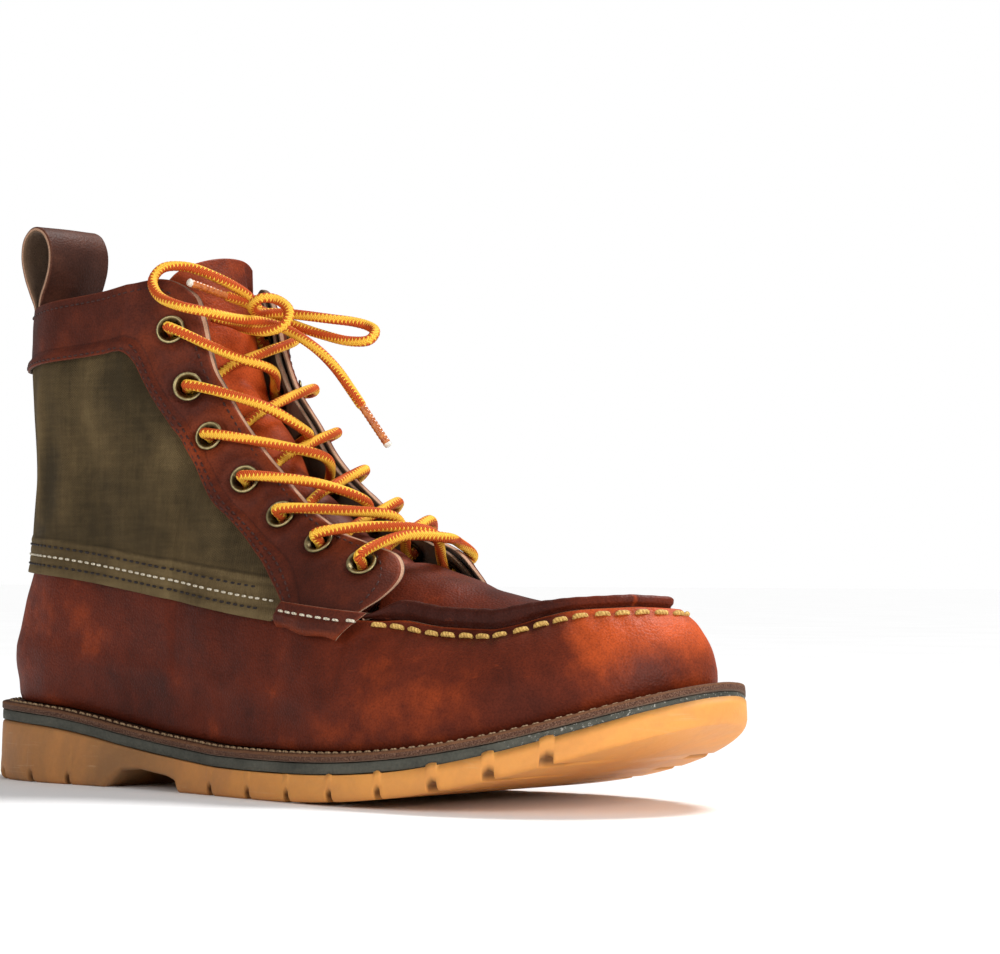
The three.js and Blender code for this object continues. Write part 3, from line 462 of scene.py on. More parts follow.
def sewn(line, pitch=2.9, long=2.1, radius=0.33, sink=0.7, way=1):
    """A row of stitches along a line on the leather."""
    return line, way * outward(line), pitch, long, radius, sink


# ---------------------------------------------------------------- finishes
class Finish:
    """Principled material with short names for the nodes it needs."""

    def __init__(self, name, **sockets):
        self.material = bpy.data.materials.new(name)
        self.material.use_nodes = True
        self.tree = self.material.node_tree
        self.shader = self.tree.nodes["Principled BSDF"]
        for key, value in sockets.items():
            self.shader.inputs[key.replace("_", " ")].default_value = value
        self.place = self.node("TexCoord").outputs["Object"]
        self.normal = None

    def node(self, kind, **settings):
        made = self.tree.nodes.new("ShaderNode" + kind)
        for key, value in settings.items():
            setattr(made, key, value)
        return made

    def feed(self, socket, value):
        if isinstance(value, bpy.types.NodeSocket):
            self.tree.links.new(value, socket)
        elif value is not None:
            socket.default_value = (*value, 1) if isinstance(value, tuple) and len(value) == 3 else value

    def noise(self, scale, detail=2.0, rough=0.5, distortion=0.0, stretch=None):
        made = self.node("TexNoise")
        vector = self.place
        if stretch:
            scaled = self.node("VectorMath", operation="MULTIPLY")
            self.feed(scaled.inputs[0], vector)
            scaled.inputs[1].default_value = stretch
            vector = scaled.outputs[0]
        self.feed(made.inputs["Vector"], vector)
        keys = ("Scale", "Detail", "Roughness", "Distortion")
        for key, value in zip(keys, (scale, detail, rough, distortion)):
            made.inputs[key].default_value = value
        return made.outputs[0]

    def cells(self, scale):
        made = self.node("TexVoronoi")
        self.feed(made.inputs["Vector"], self.place)
        made.inputs["Scale"].default_value = scale
        return made.outputs["Distance"]

    def calc(self, operation, a, b=None):
        made = self.node("Math", operation=operation)
        self.feed(made.inputs[0], a)
        self.feed(made.inputs[1], b)
        return made.outputs[0]

    def times(self, a, b):
        return self.calc("MULTIPLY", a, b)

    def wave(self, value, length):
        """Sine wave of that length along a distance."""
        return self.calc("SINE", self.times(value, 2 * math.pi / length))

    def total(self, *terms):
        """Sum of values, each with its weight."""
        weighed = [self.times(value, weight) for value, weight in terms]
        while len(weighed) > 1:
            weighed[:2] = [self.calc("ADD", *weighed[:2])]
        return weighed[0]

    def span(self, value, low, high, to_low=0.0, to_high=1.0):
        made = self.node("MapRange", interpolation_type="SMOOTHSTEP")
        keys = ("Value", "From Min", "From Max", "To Min", "To Max")
        for key, given in zip(keys, (value, low, high, to_low, to_high)):
            self.feed(made.inputs[key], given)
        return made.outputs[0]

    def ramp(self, value, *stops):
        made = self.node("ValToRGB")
        elements = made.color_ramp.elements
        while len(elements) < len(stops):
            elements.new(0.5)
        for element, (at, colour) in zip(elements, stops):
            element.position, element.color = at, (*colour, 1)
        self.feed(made.inputs[0], value)
        return made.outputs[0]

    def blend(self, share, a, b, how="MIX"):
        made = self.node("Mix", data_type="RGBA", blend_type=how)
        self.feed(made.inputs[0], share)
        self.feed(made.inputs[6], a)
        self.feed(made.inputs[7], b)
        return made.outputs[2]

    def value(self, name):
        return self.node("Attribute", attribute_name=name).outputs["Fac"]

    def flat(self):
        """Distances along and across the piece in millimetres."""
        parts = self.node("SeparateXYZ")
        self.feed(parts.inputs[0], self.node("UVMap", uv_map="flat").outputs[0])
        return parts.outputs[0], parts.outputs[1]

    def forward(self):
        """Distance forward in the frame, in metres."""
        parts = self.node("SeparateXYZ")
        self.feed(parts.inputs[0], self.place)
        return parts.outputs[0]

    def bump(self, height, distance, strength):
        made = self.node("Bump")
        made.inputs["Distance"].default_value = distance
        made.inputs["Strength"].default_value = strength
        self.feed(made.inputs["Height"], height)
        self.feed(made.inputs["Normal"], self.normal)
        self.normal = made.outputs[0]
        return self

    def done(self, colour, roughness=None):
        self.feed(self.shader.inputs["Base Color"], colour)
        self.feed(self.shader.inputs["Roughness"], roughness)
        self.feed(self.shader.inputs["Normal"], self.normal)
        return self.material


def leather(name, dark, middle, bright, shine, worn_edge=1.0):
    """Oiled leather that pales when pulled: cloudy colour, fine grain, pale rubbed edges, paler where it is
    stretched; some pieces also lay painted highlights and painted shade into that paling.
    """
    f = Finish(name, Specular_IOR_Level=0.14)
    cloud = f.noise(17, 4, 0.6, 0.4)
    spot = f.noise(95, 3, 0.6)
    grain = f.noise(1500, 3, 0.6)
    pores = f.cells(1250)
    # The paling value: where the leather is stretched, plus painted highlights and painted shade laid in by
    # some pieces.
    tone = f.total((cloud, 0.72), (spot, 0.28), (f.value("pull"), 0.36))
    colour = f.ramp(tone, (0.34, dark), (0.56, middle), (0.86, bright))
    scuffs = f.span(f.noise(230, 4, 0.7, 1.2, (1, 1, 3.5)), 0.62, 0.74)
    colour = f.blend(f.times(scuffs, 0.16), colour, bright)
    edge = f.span(f.total((f.value("inside"), 1), (spot, 1.2)), 1.5, 0.5, 0, 0.3 * worn_edge)
    colour = f.blend(edge, colour, tuple(min(1.0, 1.2 * c) for c in bright))
    colour = f.blend(f.span(f.value("seam"), 0, 1, 0, 0.7), colour, tuple(0.35 * c for c in dark))
    colour = f.blend(f.span(grain, 0.3, 0.62, 0.32, 0), colour, dark, "MULTIPLY")
    rough = f.calc("ADD", f.span(cloud, 0.3, 0.7, shine, shine + 0.14),
                   f.span(grain, 0.35, 0.7, 0.05, -0.03))
    f.bump(pores, 0.00022, 0.5).bump(grain, 0.00016, 0.6).bump(spot, 0.0005, 0.35)
    f.bump(f.noise(42, 3, 0.5, 0.8, (1, 1, 2.2)), 0.0011, 0.3)
    return f.done(colour, rough)


def cut_edge(name, dark, pale):
    """Raw cut edge of leather: pale fibres, darker where the surface dye has run in."""
    f = Finish(name, Specular_IOR_Level=0.25)
    fibre = f.noise(2300, 3, 0.7)
    light = f.total((fibre, 0.7), (f.value("raw"), 0.42))
    f.bump(fibre, 0.0003, 0.8)
    return f.done(f.ramp(light, (0.35, dark), (0.8, pale)), 0.8)


def suede(name, dark, pale):
    """Flesh side of leather or a napped lining."""
    f = Finish(name, Specular_IOR_Level=0.08, Sheen_Weight=0.1, Sheen_Roughness=0.6)
    nap = f.noise(1700, 4, 0.7)
    patch = f.noise(60, 3, 0.6)
    tone = f.total((nap, 0.5), (patch, 0.5))
    f.bump(nap, 0.0004, 0.7).bump(patch, 0.0008, 0.3)
    return f.done(f.ramp(tone, (0.32, dark), (0.68, pale)), 0.92)


def waxed_canvas():
    """Waxed cotton duck: plain weave, thread to thread variation, rubbed pale along folds and hem."""
    f = Finish("waxed_canvas", Specular_IOR_Level=0.08)
    u, v = f.flat()
    warp, weft = f.wave(u, 0.82), f.wave(v, 0.9)
    weave = f.times(warp, weft)
    ribs = f.calc("ABSOLUTE", warp)
    slub = f.noise(640, 3, 0.6, 0, (1, 1, 0.1))
    slub_across = f.noise(640, 3, 0.6, 0, (0.1, 0.1, 1))
    fibre = f.noise(2600, 2, 0.7)
    wax = f.noise(34, 4, 0.62, 0.6)
    # The weave term paints the raised threads a little paler: a faint painted highlight.
    tone = f.total((wax, 0.55), (slub, 0.15), (slub_across, 0.15), (weave, 0.05), (fibre, 0.14),
                   (f.value("pull"), 0.22))
    colour = f.ramp(tone, (0.4, (0.043, 0.030, 0.014)), (0.58, (0.098, 0.066, 0.030)),
                    (0.86, (0.22, 0.155, 0.072)))
    colour = f.blend(f.span(f.value("seam"), 0, 1, 0, 0.6), colour, (0.014, 0.011, 0.007))
    f.bump(weave, 0.00022, 0.55).bump(ribs, 0.00014, 0.35).bump(slub, 0.0005, 0.3).bump(fibre, 0.0002, 0.4)
    f.bump(f.noise(75, 3, 0.6), 0.0012, 0.3)
    return f.done(colour, f.span(wax, 0.3, 0.7, 0.66, 0.86))


def gum_rubber():
    """Amber crepe-like rubber: mottled, darker low down in its lug grooves as painted shade, polished patches
    on its side, painted lighter toward the toe as painted light.
    """
    f = Finish("gum_rubber", Specular_IOR_Level=0.2, Subsurface_Weight=0.1, Subsurface_Scale=0.004)
    cloud, speck = f.noise(23, 4, 0.65, 0.5), f.noise(480, 3, 0.7)
    # Lighter toward the toe and darker toward the heel: painted light, the toe end being the one the lamp
    # lights.
    toward_toe = f.span(f.forward(), -0.07, 0.05, -0.14, 0.26)
    tone = f.total((cloud, 0.8), (speck, 0.16), (toward_toe, 1))
    colour = f.ramp(tone, (0.2, (0.27, 0.130, 0.050)), (0.5, (0.50, 0.215, 0.066)),
                    (0.85, (0.72, 0.31, 0.075)))
    streak = f.span(f.noise(120, 3, 0.7, 0.5, (0.3, 0.3, 5)), 0.6, 0.75)
    colour = f.blend(f.times(streak, 0.25), colour, (0.62, 0.45, 0.25))
    # Darker in the lug grooves, painted shade in those recesses, and along the joint under the midsole.
    colour = f.blend(f.value("seam"), colour, (0.15, 0.075, 0.03))
    f.bump(speck, 0.0003, 0.35).bump(f.noise(150, 3, 0.6), 0.0006, 0.35)
    return f.done(colour, f.span(cloud, 0.3, 0.7, 0.42, 0.6))


def rubber_midsole():
    """Dark grey-green rubber band with pale specks of cement near the heel and the toe."""
    f = Finish("midsole_rubber", Specular_IOR_Level=0.3)
    grain, cloud = f.noise(900, 3, 0.7), f.noise(60, 3, 0.6)
    x = f.forward()
    ends = f.calc("MAXIMUM", f.span(x, -0.125, -0.146), f.span(x, 0.095, 0.14))
    tone = f.total((cloud, 0.6), (grain, 0.4))
    colour = f.ramp(tone, (0.3, (0.030, 0.032, 0.026)), (0.7, (0.105, 0.102, 0.080)))
    cement = f.times(f.span(f.noise(750, 3, 0.75), 0.57, 0.66), ends)
    colour = f.blend(f.times(cement, 0.75), colour, (0.52, 0.50, 0.44))
    f.bump(grain, 0.00035, 0.6).bump(cloud, 0.0006, 0.4)
    return f.done(colour, 0.78)


def brass():
    """Antiqued brass: brown in the hollows, rubbed bright on the rim."""
    f = Finish("antique_brass", Metallic=1.0)
    patch, fine = f.noise(520, 3, 0.6), f.noise(3200, 2, 0.6)
    tone = f.total((patch, 0.6), (f.value("rub"), 0.55))
    colour = f.ramp(tone, (0.25, (0.055, 0.042, 0.020)), (0.6, (0.24, 0.185, 0.085)),
                    (0.9, (0.50, 0.42, 0.22)))
    f.bump(fine, 0.00006, 0.6).bump(patch, 0.0001, 0.4)
    return f.done(colour, f.span(patch, 0.3, 0.7, 0.28, 0.5))


def braid():
    """Round braided lace: golden strands on two sides, rust-red ones on the others, meeting in chevrons."""
    f = Finish("lace_braid", Specular_IOR_Level=0.12)
    u, v = f.flat()
    turn = f.total((v, 2 * math.pi), (u, 2 * math.pi / 95))
    across = f.calc("COSINE", f.times(turn, 2))
    zigzag = f.times(f.calc("ABSOLUTE", f.calc("SINE", f.times(turn, 2))), 3.4)
    cross = f.calc("SINE", f.total((u, 2 * math.pi / 1.35), (zigzag, 1)))
    red = f.span(f.total((across, 0.7), (cross, 0.45)), -0.2, 0.1)
    fibre = f.noise(2600, 2, 0.7)
    relief = f.calc("ABSOLUTE", cross)
    # Strand crests painted paler and the lines between strands darker: painted highlight and painted shade on
    # the braid.
    tone = f.total((fibre, 0.5), (relief, 0.5))
    gold = f.ramp(tone, (0.2, (0.42, 0.15, 0.010)), (0.5, (0.85, 0.42, 0.030)), (0.85, (0.95, 0.64, 0.10)))
    rust = f.ramp(tone, (0.2, (0.17, 0.02, 0.005)), (0.6, (0.52, 0.070, 0.012)), (0.95, (0.75, 0.17, 0.030)))
    f.bump(relief, 0.0002, 0.5).bump(fibre, 0.00015, 0.5)
    return f.done(f.blend(red, gold, rust), 0.62)


def thread(name, dark, pale):
    """Twisted waxed thread."""
    f = Finish(name, Specular_IOR_Level=0.3)
    u, v = f.flat()
    ply = f.calc("SINE", f.total((u, 2 * math.pi / 1.1), (v, 4 * math.pi)))
    tone = f.total((f.noise(1400, 2, 0.7), 0.7), (ply, 0.07))
    f.bump(ply, 0.00012, 0.35)
    return f.done(f.ramp(tone, (0.2, dark), (0.55, pale)), 0.6)


def plain(name, dark, pale, roughness, scale=300, metallic=0.0, depth=0.0003, **sockets):
    """Two-tone mottled finish for small and inner parts."""
    f = Finish(name, Metallic=metallic, **sockets)
    grain = f.noise(scale, 4, 0.65)
    f.bump(grain, depth, 0.5)
    return f.done(f.ramp(grain, (0.3, dark), (0.7, pale)),
                  f.span(grain, 0.3, 0.7, roughness - 0.06, roughness + 0.06))


def floor_finish():
    f = Finish("floor", Specular_IOR_Level=0.2)
    return f.done(f.ramp(f.noise(6, 2), (0.3, (0.92, 0.92, 0.92)), (0.7, (0.95, 0.95, 0.95))), 0.7)


VAMP_LEATHER = leather("vamp_leather", (0.045, 0.0070, 0.0028), (0.130, 0.0185, 0.0055),
                       (0.54, 0.080, 0.013), 0.42)
UPPER_LEATHER = leather("upper_leather", (0.026, 0.0056, 0.0028), (0.080, 0.0145, 0.0062),
                        (0.26, 0.044, 0.011), 0.45)
STRAP_LEATHER = leather("strap_leather", (0.024, 0.0080, 0.0052), (0.068, 0.022, 0.013),
                        (0.17, 0.058, 0.030), 0.48)
WELT_LEATHER = leather("welt_leather", (0.028, 0.010, 0.006), (0.085, 0.034, 0.017),
                       (0.26, 0.120, 0.058), 0.6, 1.3)
RAW = cut_edge("raw_edge", (0.060, 0.022, 0.012), (0.52, 0.30, 0.19))
FLESH = suede("flesh_side", (0.070, 0.036, 0.020), (0.19, 0.115, 0.068))
LINING = suede("lining", (0.105, 0.068, 0.040), (0.24, 0.165, 0.10))
CANVAS = waxed_canvas()
CANVAS_BACK = plain("canvas_back", (0.05, 0.042, 0.026), (0.13, 0.11, 0.07), 0.9, 900)
GUM = gum_rubber()
MIDSOLE = rubber_midsole()
BRASS = brass()
BRAID = braid()
GOLD_THREAD = thread("gold_thread", (0.30, 0.150, 0.030), (0.80, 0.52, 0.15))
WHITE_THREAD = thread("white_thread", (0.33, 0.27, 0.18), (0.80, 0.74, 0.60))
DARK_THREAD = thread("dark_thread", (0.006, 0.004, 0.004), (0.030, 0.020, 0.017))
RED_THREAD = thread("oxblood_thread", (0.020, 0.006, 0.004), (0.075, 0.018, 0.011))
WELT_THREAD = thread("welt_thread", (0.16, 0.090, 0.045), (0.50, 0.34, 0.19))
AGLET = plain("aglet_plastic", (0.28, 0.045, 0.010), (0.62, 0.20, 0.035), 0.3, 700,
              Coat_Weight=0.25, Coat_Roughness=0.15)
CLEAR_TIP = plain("aglet_tip", (0.62, 0.55, 0.45), (0.8, 0.76, 0.68), 0.25, 900,
                  Coat_Weight=0.6, Coat_Roughness=0.1)
INSOLE = suede("insole_leather", (0.20, 0.125, 0.075), (0.42, 0.29, 0.185))
CORK = plain("cork", (0.16, 0.09, 0.045), (0.42, 0.27, 0.16), 0.95, 700, depth=0.0008)
STEEL = plain("shank_steel", (0.32, 0.33, 0.34), (0.5, 0.51, 0.52), 0.38, 200, 1.0)


# ---------------------------------------------------------------- facing and lacing layout
FACING = [[[192, 61], [165, 60.5]], [[196.5, 66], [161, 65]], [[198, 72], [155, 71]],
          [[194, 79], [149, 77]], [[183, 83.5], [143, 82]], [[172, 87], [137, 87]],
          [[160, 93], [130, 92.5]], [[150, 100.5], [123, 98]], [[141, 108], [117, 105.5]],
          [[135, 113.5], [113, 111]], [[126, 124], [104, 123]], [[118.5, 133], [97, 132]],
          [[112, 142], [91, 140]], [[108.5, 150], [87, 146]], [[105, 161], [84.5, 148.5]],
          [[101, 169.5], [82, 149.8]], [[92, 175], [79, 150]], [[82, 173.5], [73, 149.3]],
          [[68, 171.5], [64, 148.7]], [[53, 170.3], [52, 148]], [[40, 169.3], [40, 147.3]],
          [[33, 168.9], [33, 146.9]], [[27, 168.5], [27, 146.5]], [[20.5, 168.1], [20.5, 146.1]],
          [[14, 167.8], [14, 145.8]], [[7, 167.5], [7, 145.4]], [[0.4, 167.5], [0.4, 145]]]
FREE_EDGE, SEWN_EDGE = (catmull([pair[k] for pair in FACING], 16) for k in (0, 1))
ROWS = np.arange(len(FREE_EDGE)) / 16
LAST_ROW = len(FACING) - 1
FACING_BACK = -1.9
EYELETS = [[98, 157], [106, 137], [116, 120], [132, 105], [149, 93], [167, 84], [186, 77]]
EYELET_FLANGE, EYELET_ROLLED = 5.1, 4.0
LACE_RADIUS = 1.8
LACE_UP, LACE_UNDER = 3.7, -2.6
FACING_TOP = 1.9


def facing_at(row, across):
    """Station and height of a place on the facing: row from the foot of the lacing round to the heel."""
    free, sewn = along(FREE_EDGE, ROWS, row), along(SEWN_EDGE, ROWS, row)
    place = mix(free, sewn, np.asarray(across)[..., None])
    return place[..., 0], place[..., 1]


def eyelet_place(place, side):
    at = skin(place[0], place[1], side, FACING_TOP)
    out = outward(at)
    turn = np.array(Vector((0, 0, 1)).rotation_difference(Vector(out)).to_matrix())
    angle = np.pi * np.arange(8) / 4

    def height(radius, level):
        foot = np.stack([radius * np.cos(angle), radius * np.sin(angle), 0 * angle - 12], -1) @ turn.T + at
        top = leave(foot, np.broadcast_to(out, foot.shape), 24, level, surface)
        return np.linalg.norm(top - foot, axis=1) - 12

    seat = max(0.0, height(EYELET_FLANGE, FACING_TOP).max())
    depth = -height(EYELET_ROLLED, FACING_BACK).min()
    return {"at": at, "out": out, "turn": turn, "seat": seat, "depth": depth}


PLACES = {side: [eyelet_place(e, side) for e in EYELETS] for side in (LATERAL, MEDIAL)}


def through(k, side, height):
    e = PLACES[side][k]
    return e["at"] + e["out"] * (height - e["depth"] if height < 0 else height + e["seat"])


def abreast(p):
    x = np.arange(90, 205, 0.5)
    return x[np.argmin(np.hypot(x - p[0], instep(x) - p[2]))]


# Each way across: share of the way down to the next eyelet, distance from the middle, height.
STRAND = {LATERAL: [[0.9, 16, 3.8], [1.4, 3, 1.9], [1.15, -10.5, -4.6], [1.0, -15.5, -5.2]],
          MEDIAL: [[0.4, 16, 4.2], [0.6, 3, -1.9], [0.8, -10.5, -4.3], [0.9, -15.5, -5]]}


def strand(k, side):
    """One crossing: out of eyelet k, over the middle, under the far facing, up through the next eyelet."""
    start, end = through(k, side, LACE_UP), through(k + 1, -side, LACE_UNDER)
    a, b = abreast(start), abreast(end)
    middle = [over(mix(a, b, share), side * y, height) for share, y, height in STRAND[side]]
    return [through(k, side, 0.2), start, *middle, end]


def hand_over(side):
    """Where the laced stretch ends and the tied end begins, and the way on."""
    at = over(107.5, side * 13, -4.9)
    return at, unit(over(109, side * 7, -2) - at)


def laced_route():
    halves, last = [], len(EYELETS) - 1
    for side in (LATERAL, MEDIAL):
        at, way = hand_over(side)
        crossings = [p for k in range(last) for p in strand(k, -side if k % 2 else side)]
        halves.append([at, at - 4 * way, through(0, side, LACE_UNDER), *crossings,
                       through(last, side, 0.2), through(last, side, LACE_UP)])
    bar = [over(192, -14, 2.6), over(197, 0, 2.2), over(193, 14, 2.8)]
    return halves[0] + bar + halves[1][::-1]


# The outer end makes the knot's wrap, the narrow forward loop and the short end; the inner end makes
# the wide loop over the facing's corner and the long hanging end.
BOW = {
    "outer": [[114, -8, 157.9], [123.7, -8, 156.7], [129.8, -6, 158.6], [129.3, -3, 163.6],
              [123.5, -3, 167.8], [120.2, -7, 168.3], [115.4, -7, 166.2], [112.9, -2, 163.9],
              [114.8, 3, 164.1], [120.1, 7, 163.8], [134.5, 13.5, 161.7], [140.2, 18, 160.7],
              [144.5, 20.5, 159.3], [149.6, 18.5, 156.8], [150, 15, 153.8], [143.5, 12.5, 153.6],
              [131.2, 10.5, 156.5], [122.5, 8, 159.5], [111.9, 8, 163.2], [106, 5.5, 166.2],
              [105.6, -3, 168.4], [104.7, -10, 170]],
    "inner": [[107.5, 4.5, 165.3], [106.5, 0, 170.3], [103.3, -12, 175.9], [96.6, -20, 179.5],
              [92, -27, 178.8], [91.3, -31, 174.4], [95.9, -33, 168.8], [105.3, -33, 164.9],
              [113.7, -27, 162.5], [116.6, -15, 160.7], [117.3, -4, 160.4], [121.6, 1, 158.8],
              [128.8, 3, 155.1], [137.4, 4, 149.6], [144.5, 5, 143.2], [149.6, 6, 136.9],
              [154.3, 8, 129.7]],
}
AGLET_LONG, AGLET_RADIUS = 16.0, 1.35


def braid_relief(u, share):
    """Crossing strands of the braid, standing a little proud of the lace."""
    a, b = 2 * np.pi * (u / 1.5 + 4 * share), 2 * np.pi * (u / 1.5 - 4 * share)
    return 0.17 * np.abs(np.sin(a) * np.sin(b)) + 0.05 * np.sin(2 * np.pi * u / 37 + 3 * share) - 0.13


def wrapped_relief(u, share):
    """Faint turns of the tape round a lace tip."""
    return 0.05 * np.sin(2 * np.pi * (u / 1.5 + share)) + 0.04 * np.sin(2 * np.pi * (u / 1.5 - share))


def frame_points(points):
    return ((np.asarray(points) - [CENTRE, 0, 0]) * MM).tolist()


def add_laces():
    tube("lace_laced", catmull(laced_route(), 14), LACE_RADIUS, 20, [BRAID], 0.3, braid_relief, (0.6, 0.6),
         replaces=["lace"], slot="lace")
    for name, side in SIDES:
        at, way = hand_over(side)
        route = catmull([at + 0.35 * way, over(109, side * 7, -2), *BOW[name]], 14)
        end = tube(f"lace_end_{name}", route, LACE_RADIUS, 20, [BRAID], 0.3, braid_relief, (0.6, 2.2),
                   replaces=["lace_bow"], slot="lace")
        heading = unit(route[-1] - route[-2])
        tip = [route[-1] + heading * d for d in (-1.6, AGLET_LONG)]
        cap = tube(f"aglet_tube_{name}", tip, AGLET_RADIUS, 24, [AGLET, CLEAR_TIP], 0.25,
                   wrapped_relief, (0.5, 0.7), replaces=[f"aglet_{name}"], slot="aglet")
        middle = np.array([p.center for p in cap.data.polygons]) / MM + [CENTRE, 0, 0]
        beyond = (middle - route[-1]) @ heading
        cap.data.polygons.foreach_set("material_index", (beyond > AGLET_LONG - 1.6).astype(np.int32))
        path = frame_points(resample(route, 1.0)[0])


add_laces()


# ---------------------------------------------------------------- sole
LUGS = (17, 37, 57, 133, 154, 175, 196, 217, 238, 257, 274)
LUG_HALF, LUG_DEEP, LUG_REACH = 1.3, 3.2, 13.0
ARCH = np.array([[75, 0], [77, 1], [85, 6.2], [94, 6.8], [108, 5.2], [113, 3.6], [114.5, 0]], float)
TOP_INSET = 0.5
SIDE_ROWS = ((1.6, 0.0), (0.9, 0.45), (0.3, 1.3), (0.0, 2.7), (0.05, 5.0), (0.25, 8.0))


def groove_stations(side):
    """Stations whose sole edge lies abreast of each lug groove."""
    s = np.arange(0, 290, 0.25)
    x = rim(s, side, 0)[:, 0]
    return [float(np.interp(lug, x, s)) for lug in LUGS]


def sole_columns():
    cuts = np.array(groove_stations(LATERAL) + groove_stations(MEDIAL))
    marks = [cuts + d for d in (-1.45, -1.3, -0.7, 0, 0.7, 1.3, 1.45)]
    marks += [ARCH[:, 0] + 0, [74.9, 75.6, 80, 89, 100, 114.4, 114.7]]
    every = np.concatenate([np.linspace(0, 290, 190), *marks])
    every = np.unique(np.round(np.clip(every, 0, 290), 3))
    return every[np.concatenate([[True], np.diff(every) > 0.02])]


def groove(s, side, depth_in):
    """How high a lug groove cuts into the sole at a station, that far in from the edge."""
    cut = np.zeros_like(s)
    for centre in groove_stations(side):
        off = np.abs(s - centre)
        cut = np.maximum(cut, np.clip((1.42 - off) / 0.14, 0, 1) * (LUG_DEEP - 0.9 * off / LUG_HALF))
    return cut * (depth_in < LUG_REACH)


def loft(name, sections, materials, values=None, **facts):
    """Closed body through closed sections of points; the first and last have no width."""
    ni, nj = sections.shape[:2]
    i, j = (a.ravel() for a in np.meshgrid(np.arange(ni - 1), np.arange(nj), indexing="ij"))
    m = (j + 1) % nj
    faces = np.stack([i * nj + j, (i + 1) * nj + j, (i + 1) * nj + m, i * nj + m], 1)
    closed = np.concatenate([sections, sections[:, :1]], 1)
    u, v = lengths(sections, 0), lengths(closed, 1)
    corners = ((i, j), (i + 1, j), (i + 1, j + 1), (i, j + 1))
    uv = np.stack([np.stack([u[a, b % nj], v[a, b]], -1) for a, b in corners], 1)
    values = {k: w.ravel() for k, w in (values or {}).items()}
    return build(name, sections.reshape(-1, 3), faces, materials, uv=uv, values=values, merge=True, **facts)


def add_outsole():
    s = sole_columns()
    arch = np.interp(s, ARCH[:, 0], ARCH[:, 1], left=0, right=0)
    inward = (3.5, 6, 9, 12.7, 13.3)
    low, seam = {}, {}
    for side in (LATERAL, MEDIAL):
        edge = rim(s, side, 1.6)
        middle = rim(s, LATERAL, 1.6) / 2 + rim(s, MEDIAL, 1.6) / 2
        half = np.linalg.norm(edge - middle, axis=1)
        columns, marks = [], []
        for k, d in enumerate((1.6, *inward)):
            share = np.minimum(d - 1.6, half * k / 7) / np.maximum(half, 1e-6)
            p = mix(edge, middle, share[:, None])
            up = np.maximum(arch, groove(s, side, np.full_like(s, d)))
            p[:, 2] = bottom_z(p[:, 0]) + up
            columns.append(p)
            # Painted shade on the tread: darker the deeper the lug groove.
            marks.append(np.clip(groove(s, side, np.full_like(s, d)) / 2, 0, 1) * 0.8)
        low[side], seam[side] = columns, marks
        walls, wall_marks = [], []
        for inset, rise in SIDE_ROWS[1:]:
            p = rim(s, side, inset)
            up = np.maximum(arch, groove(s, side, np.zeros_like(s)))
            p[:, 2] = bottom_z(p[:, 0]) + up + rise * (1 - up / 12)
            walls.append(p)
            # Painted shade in the lug grooves up the side wall.
            wall_marks.append(np.clip(groove(s, side, np.zeros_like(s)) / 3, 0, 1) * max(0.0, 0.8 - rise / 3))
        p = rim(s, side, TOP_INSET)
        top = welt_z(p[:, 0]) - 6.8
        for share, inset in ((0.6, 0.45), (0.9, 0.62), (0.97, 0.9), (1.0, 1.5)):
            q = rim(s, side, inset)
            q[:, 2] = mix(walls[4][:, 2], top, share)
            walls.append(q)
            wall_marks.append(np.zeros_like(s) + (0.35 if share > 0.95 else 0))
        low[side] = (columns, walls)
        seam[side] = (marks, wall_marks)
    centre = (low[LATERAL][0][-1] + low[MEDIAL][0][-1]) / 2
    centre[:, 2] = bottom_z(centre[:, 0]) + arch
    order = ([centre] + low[LATERAL][0][::-1] + low[LATERAL][1] + low[MEDIAL][1][::-1] + low[MEDIAL][0])
    none = np.zeros_like(s)
    marks = [none] + seam[LATERAL][0][::-1] + seam[LATERAL][1] + seam[MEDIAL][1][::-1] + seam[MEDIAL][0]
    loft("sole_gum", np.stack(order, 1), [GUM], {"seam": np.stack(marks, 1)}, replaces=["outsole"],
         slot="gum")


def band(name, layers, materials, **facts):
    """Plate filling the sole edge, through (inset, height over the welt's top) layers."""
    s = np.linspace(0, TIP, 207)
    rows = []
    for side, order in ((LATERAL, layers), (MEDIAL, layers[::-1])):
        for inset, rise in order:
            p = rim(s, side, inset)
            p[:, 2] = welt_z(p[:, 0]) + rise + 0.06 * ripple(p[:, 0], p[:, 1], 17, 5)
            rows.append(p)
    return loft(name, np.stack(rows, 1), materials, **facts)


HALF_RING = np.concatenate([np.linspace(0, 52, 48), np.linspace(53.3, 232, 140), np.linspace(233, 290, 66)])
RING_S = np.concatenate([HALF_RING[:-1], HALF_RING[:0:-1]])
RING_SIDE = np.concatenate([np.full(len(HALF_RING) - 1, LATERAL), np.full(len(HALF_RING) - 1, MEDIAL)])


def ring_line(inset, height):
    line = rim(RING_S, RING_SIDE, inset)
    line[:, 2] = height(line[:, 0])
    return line


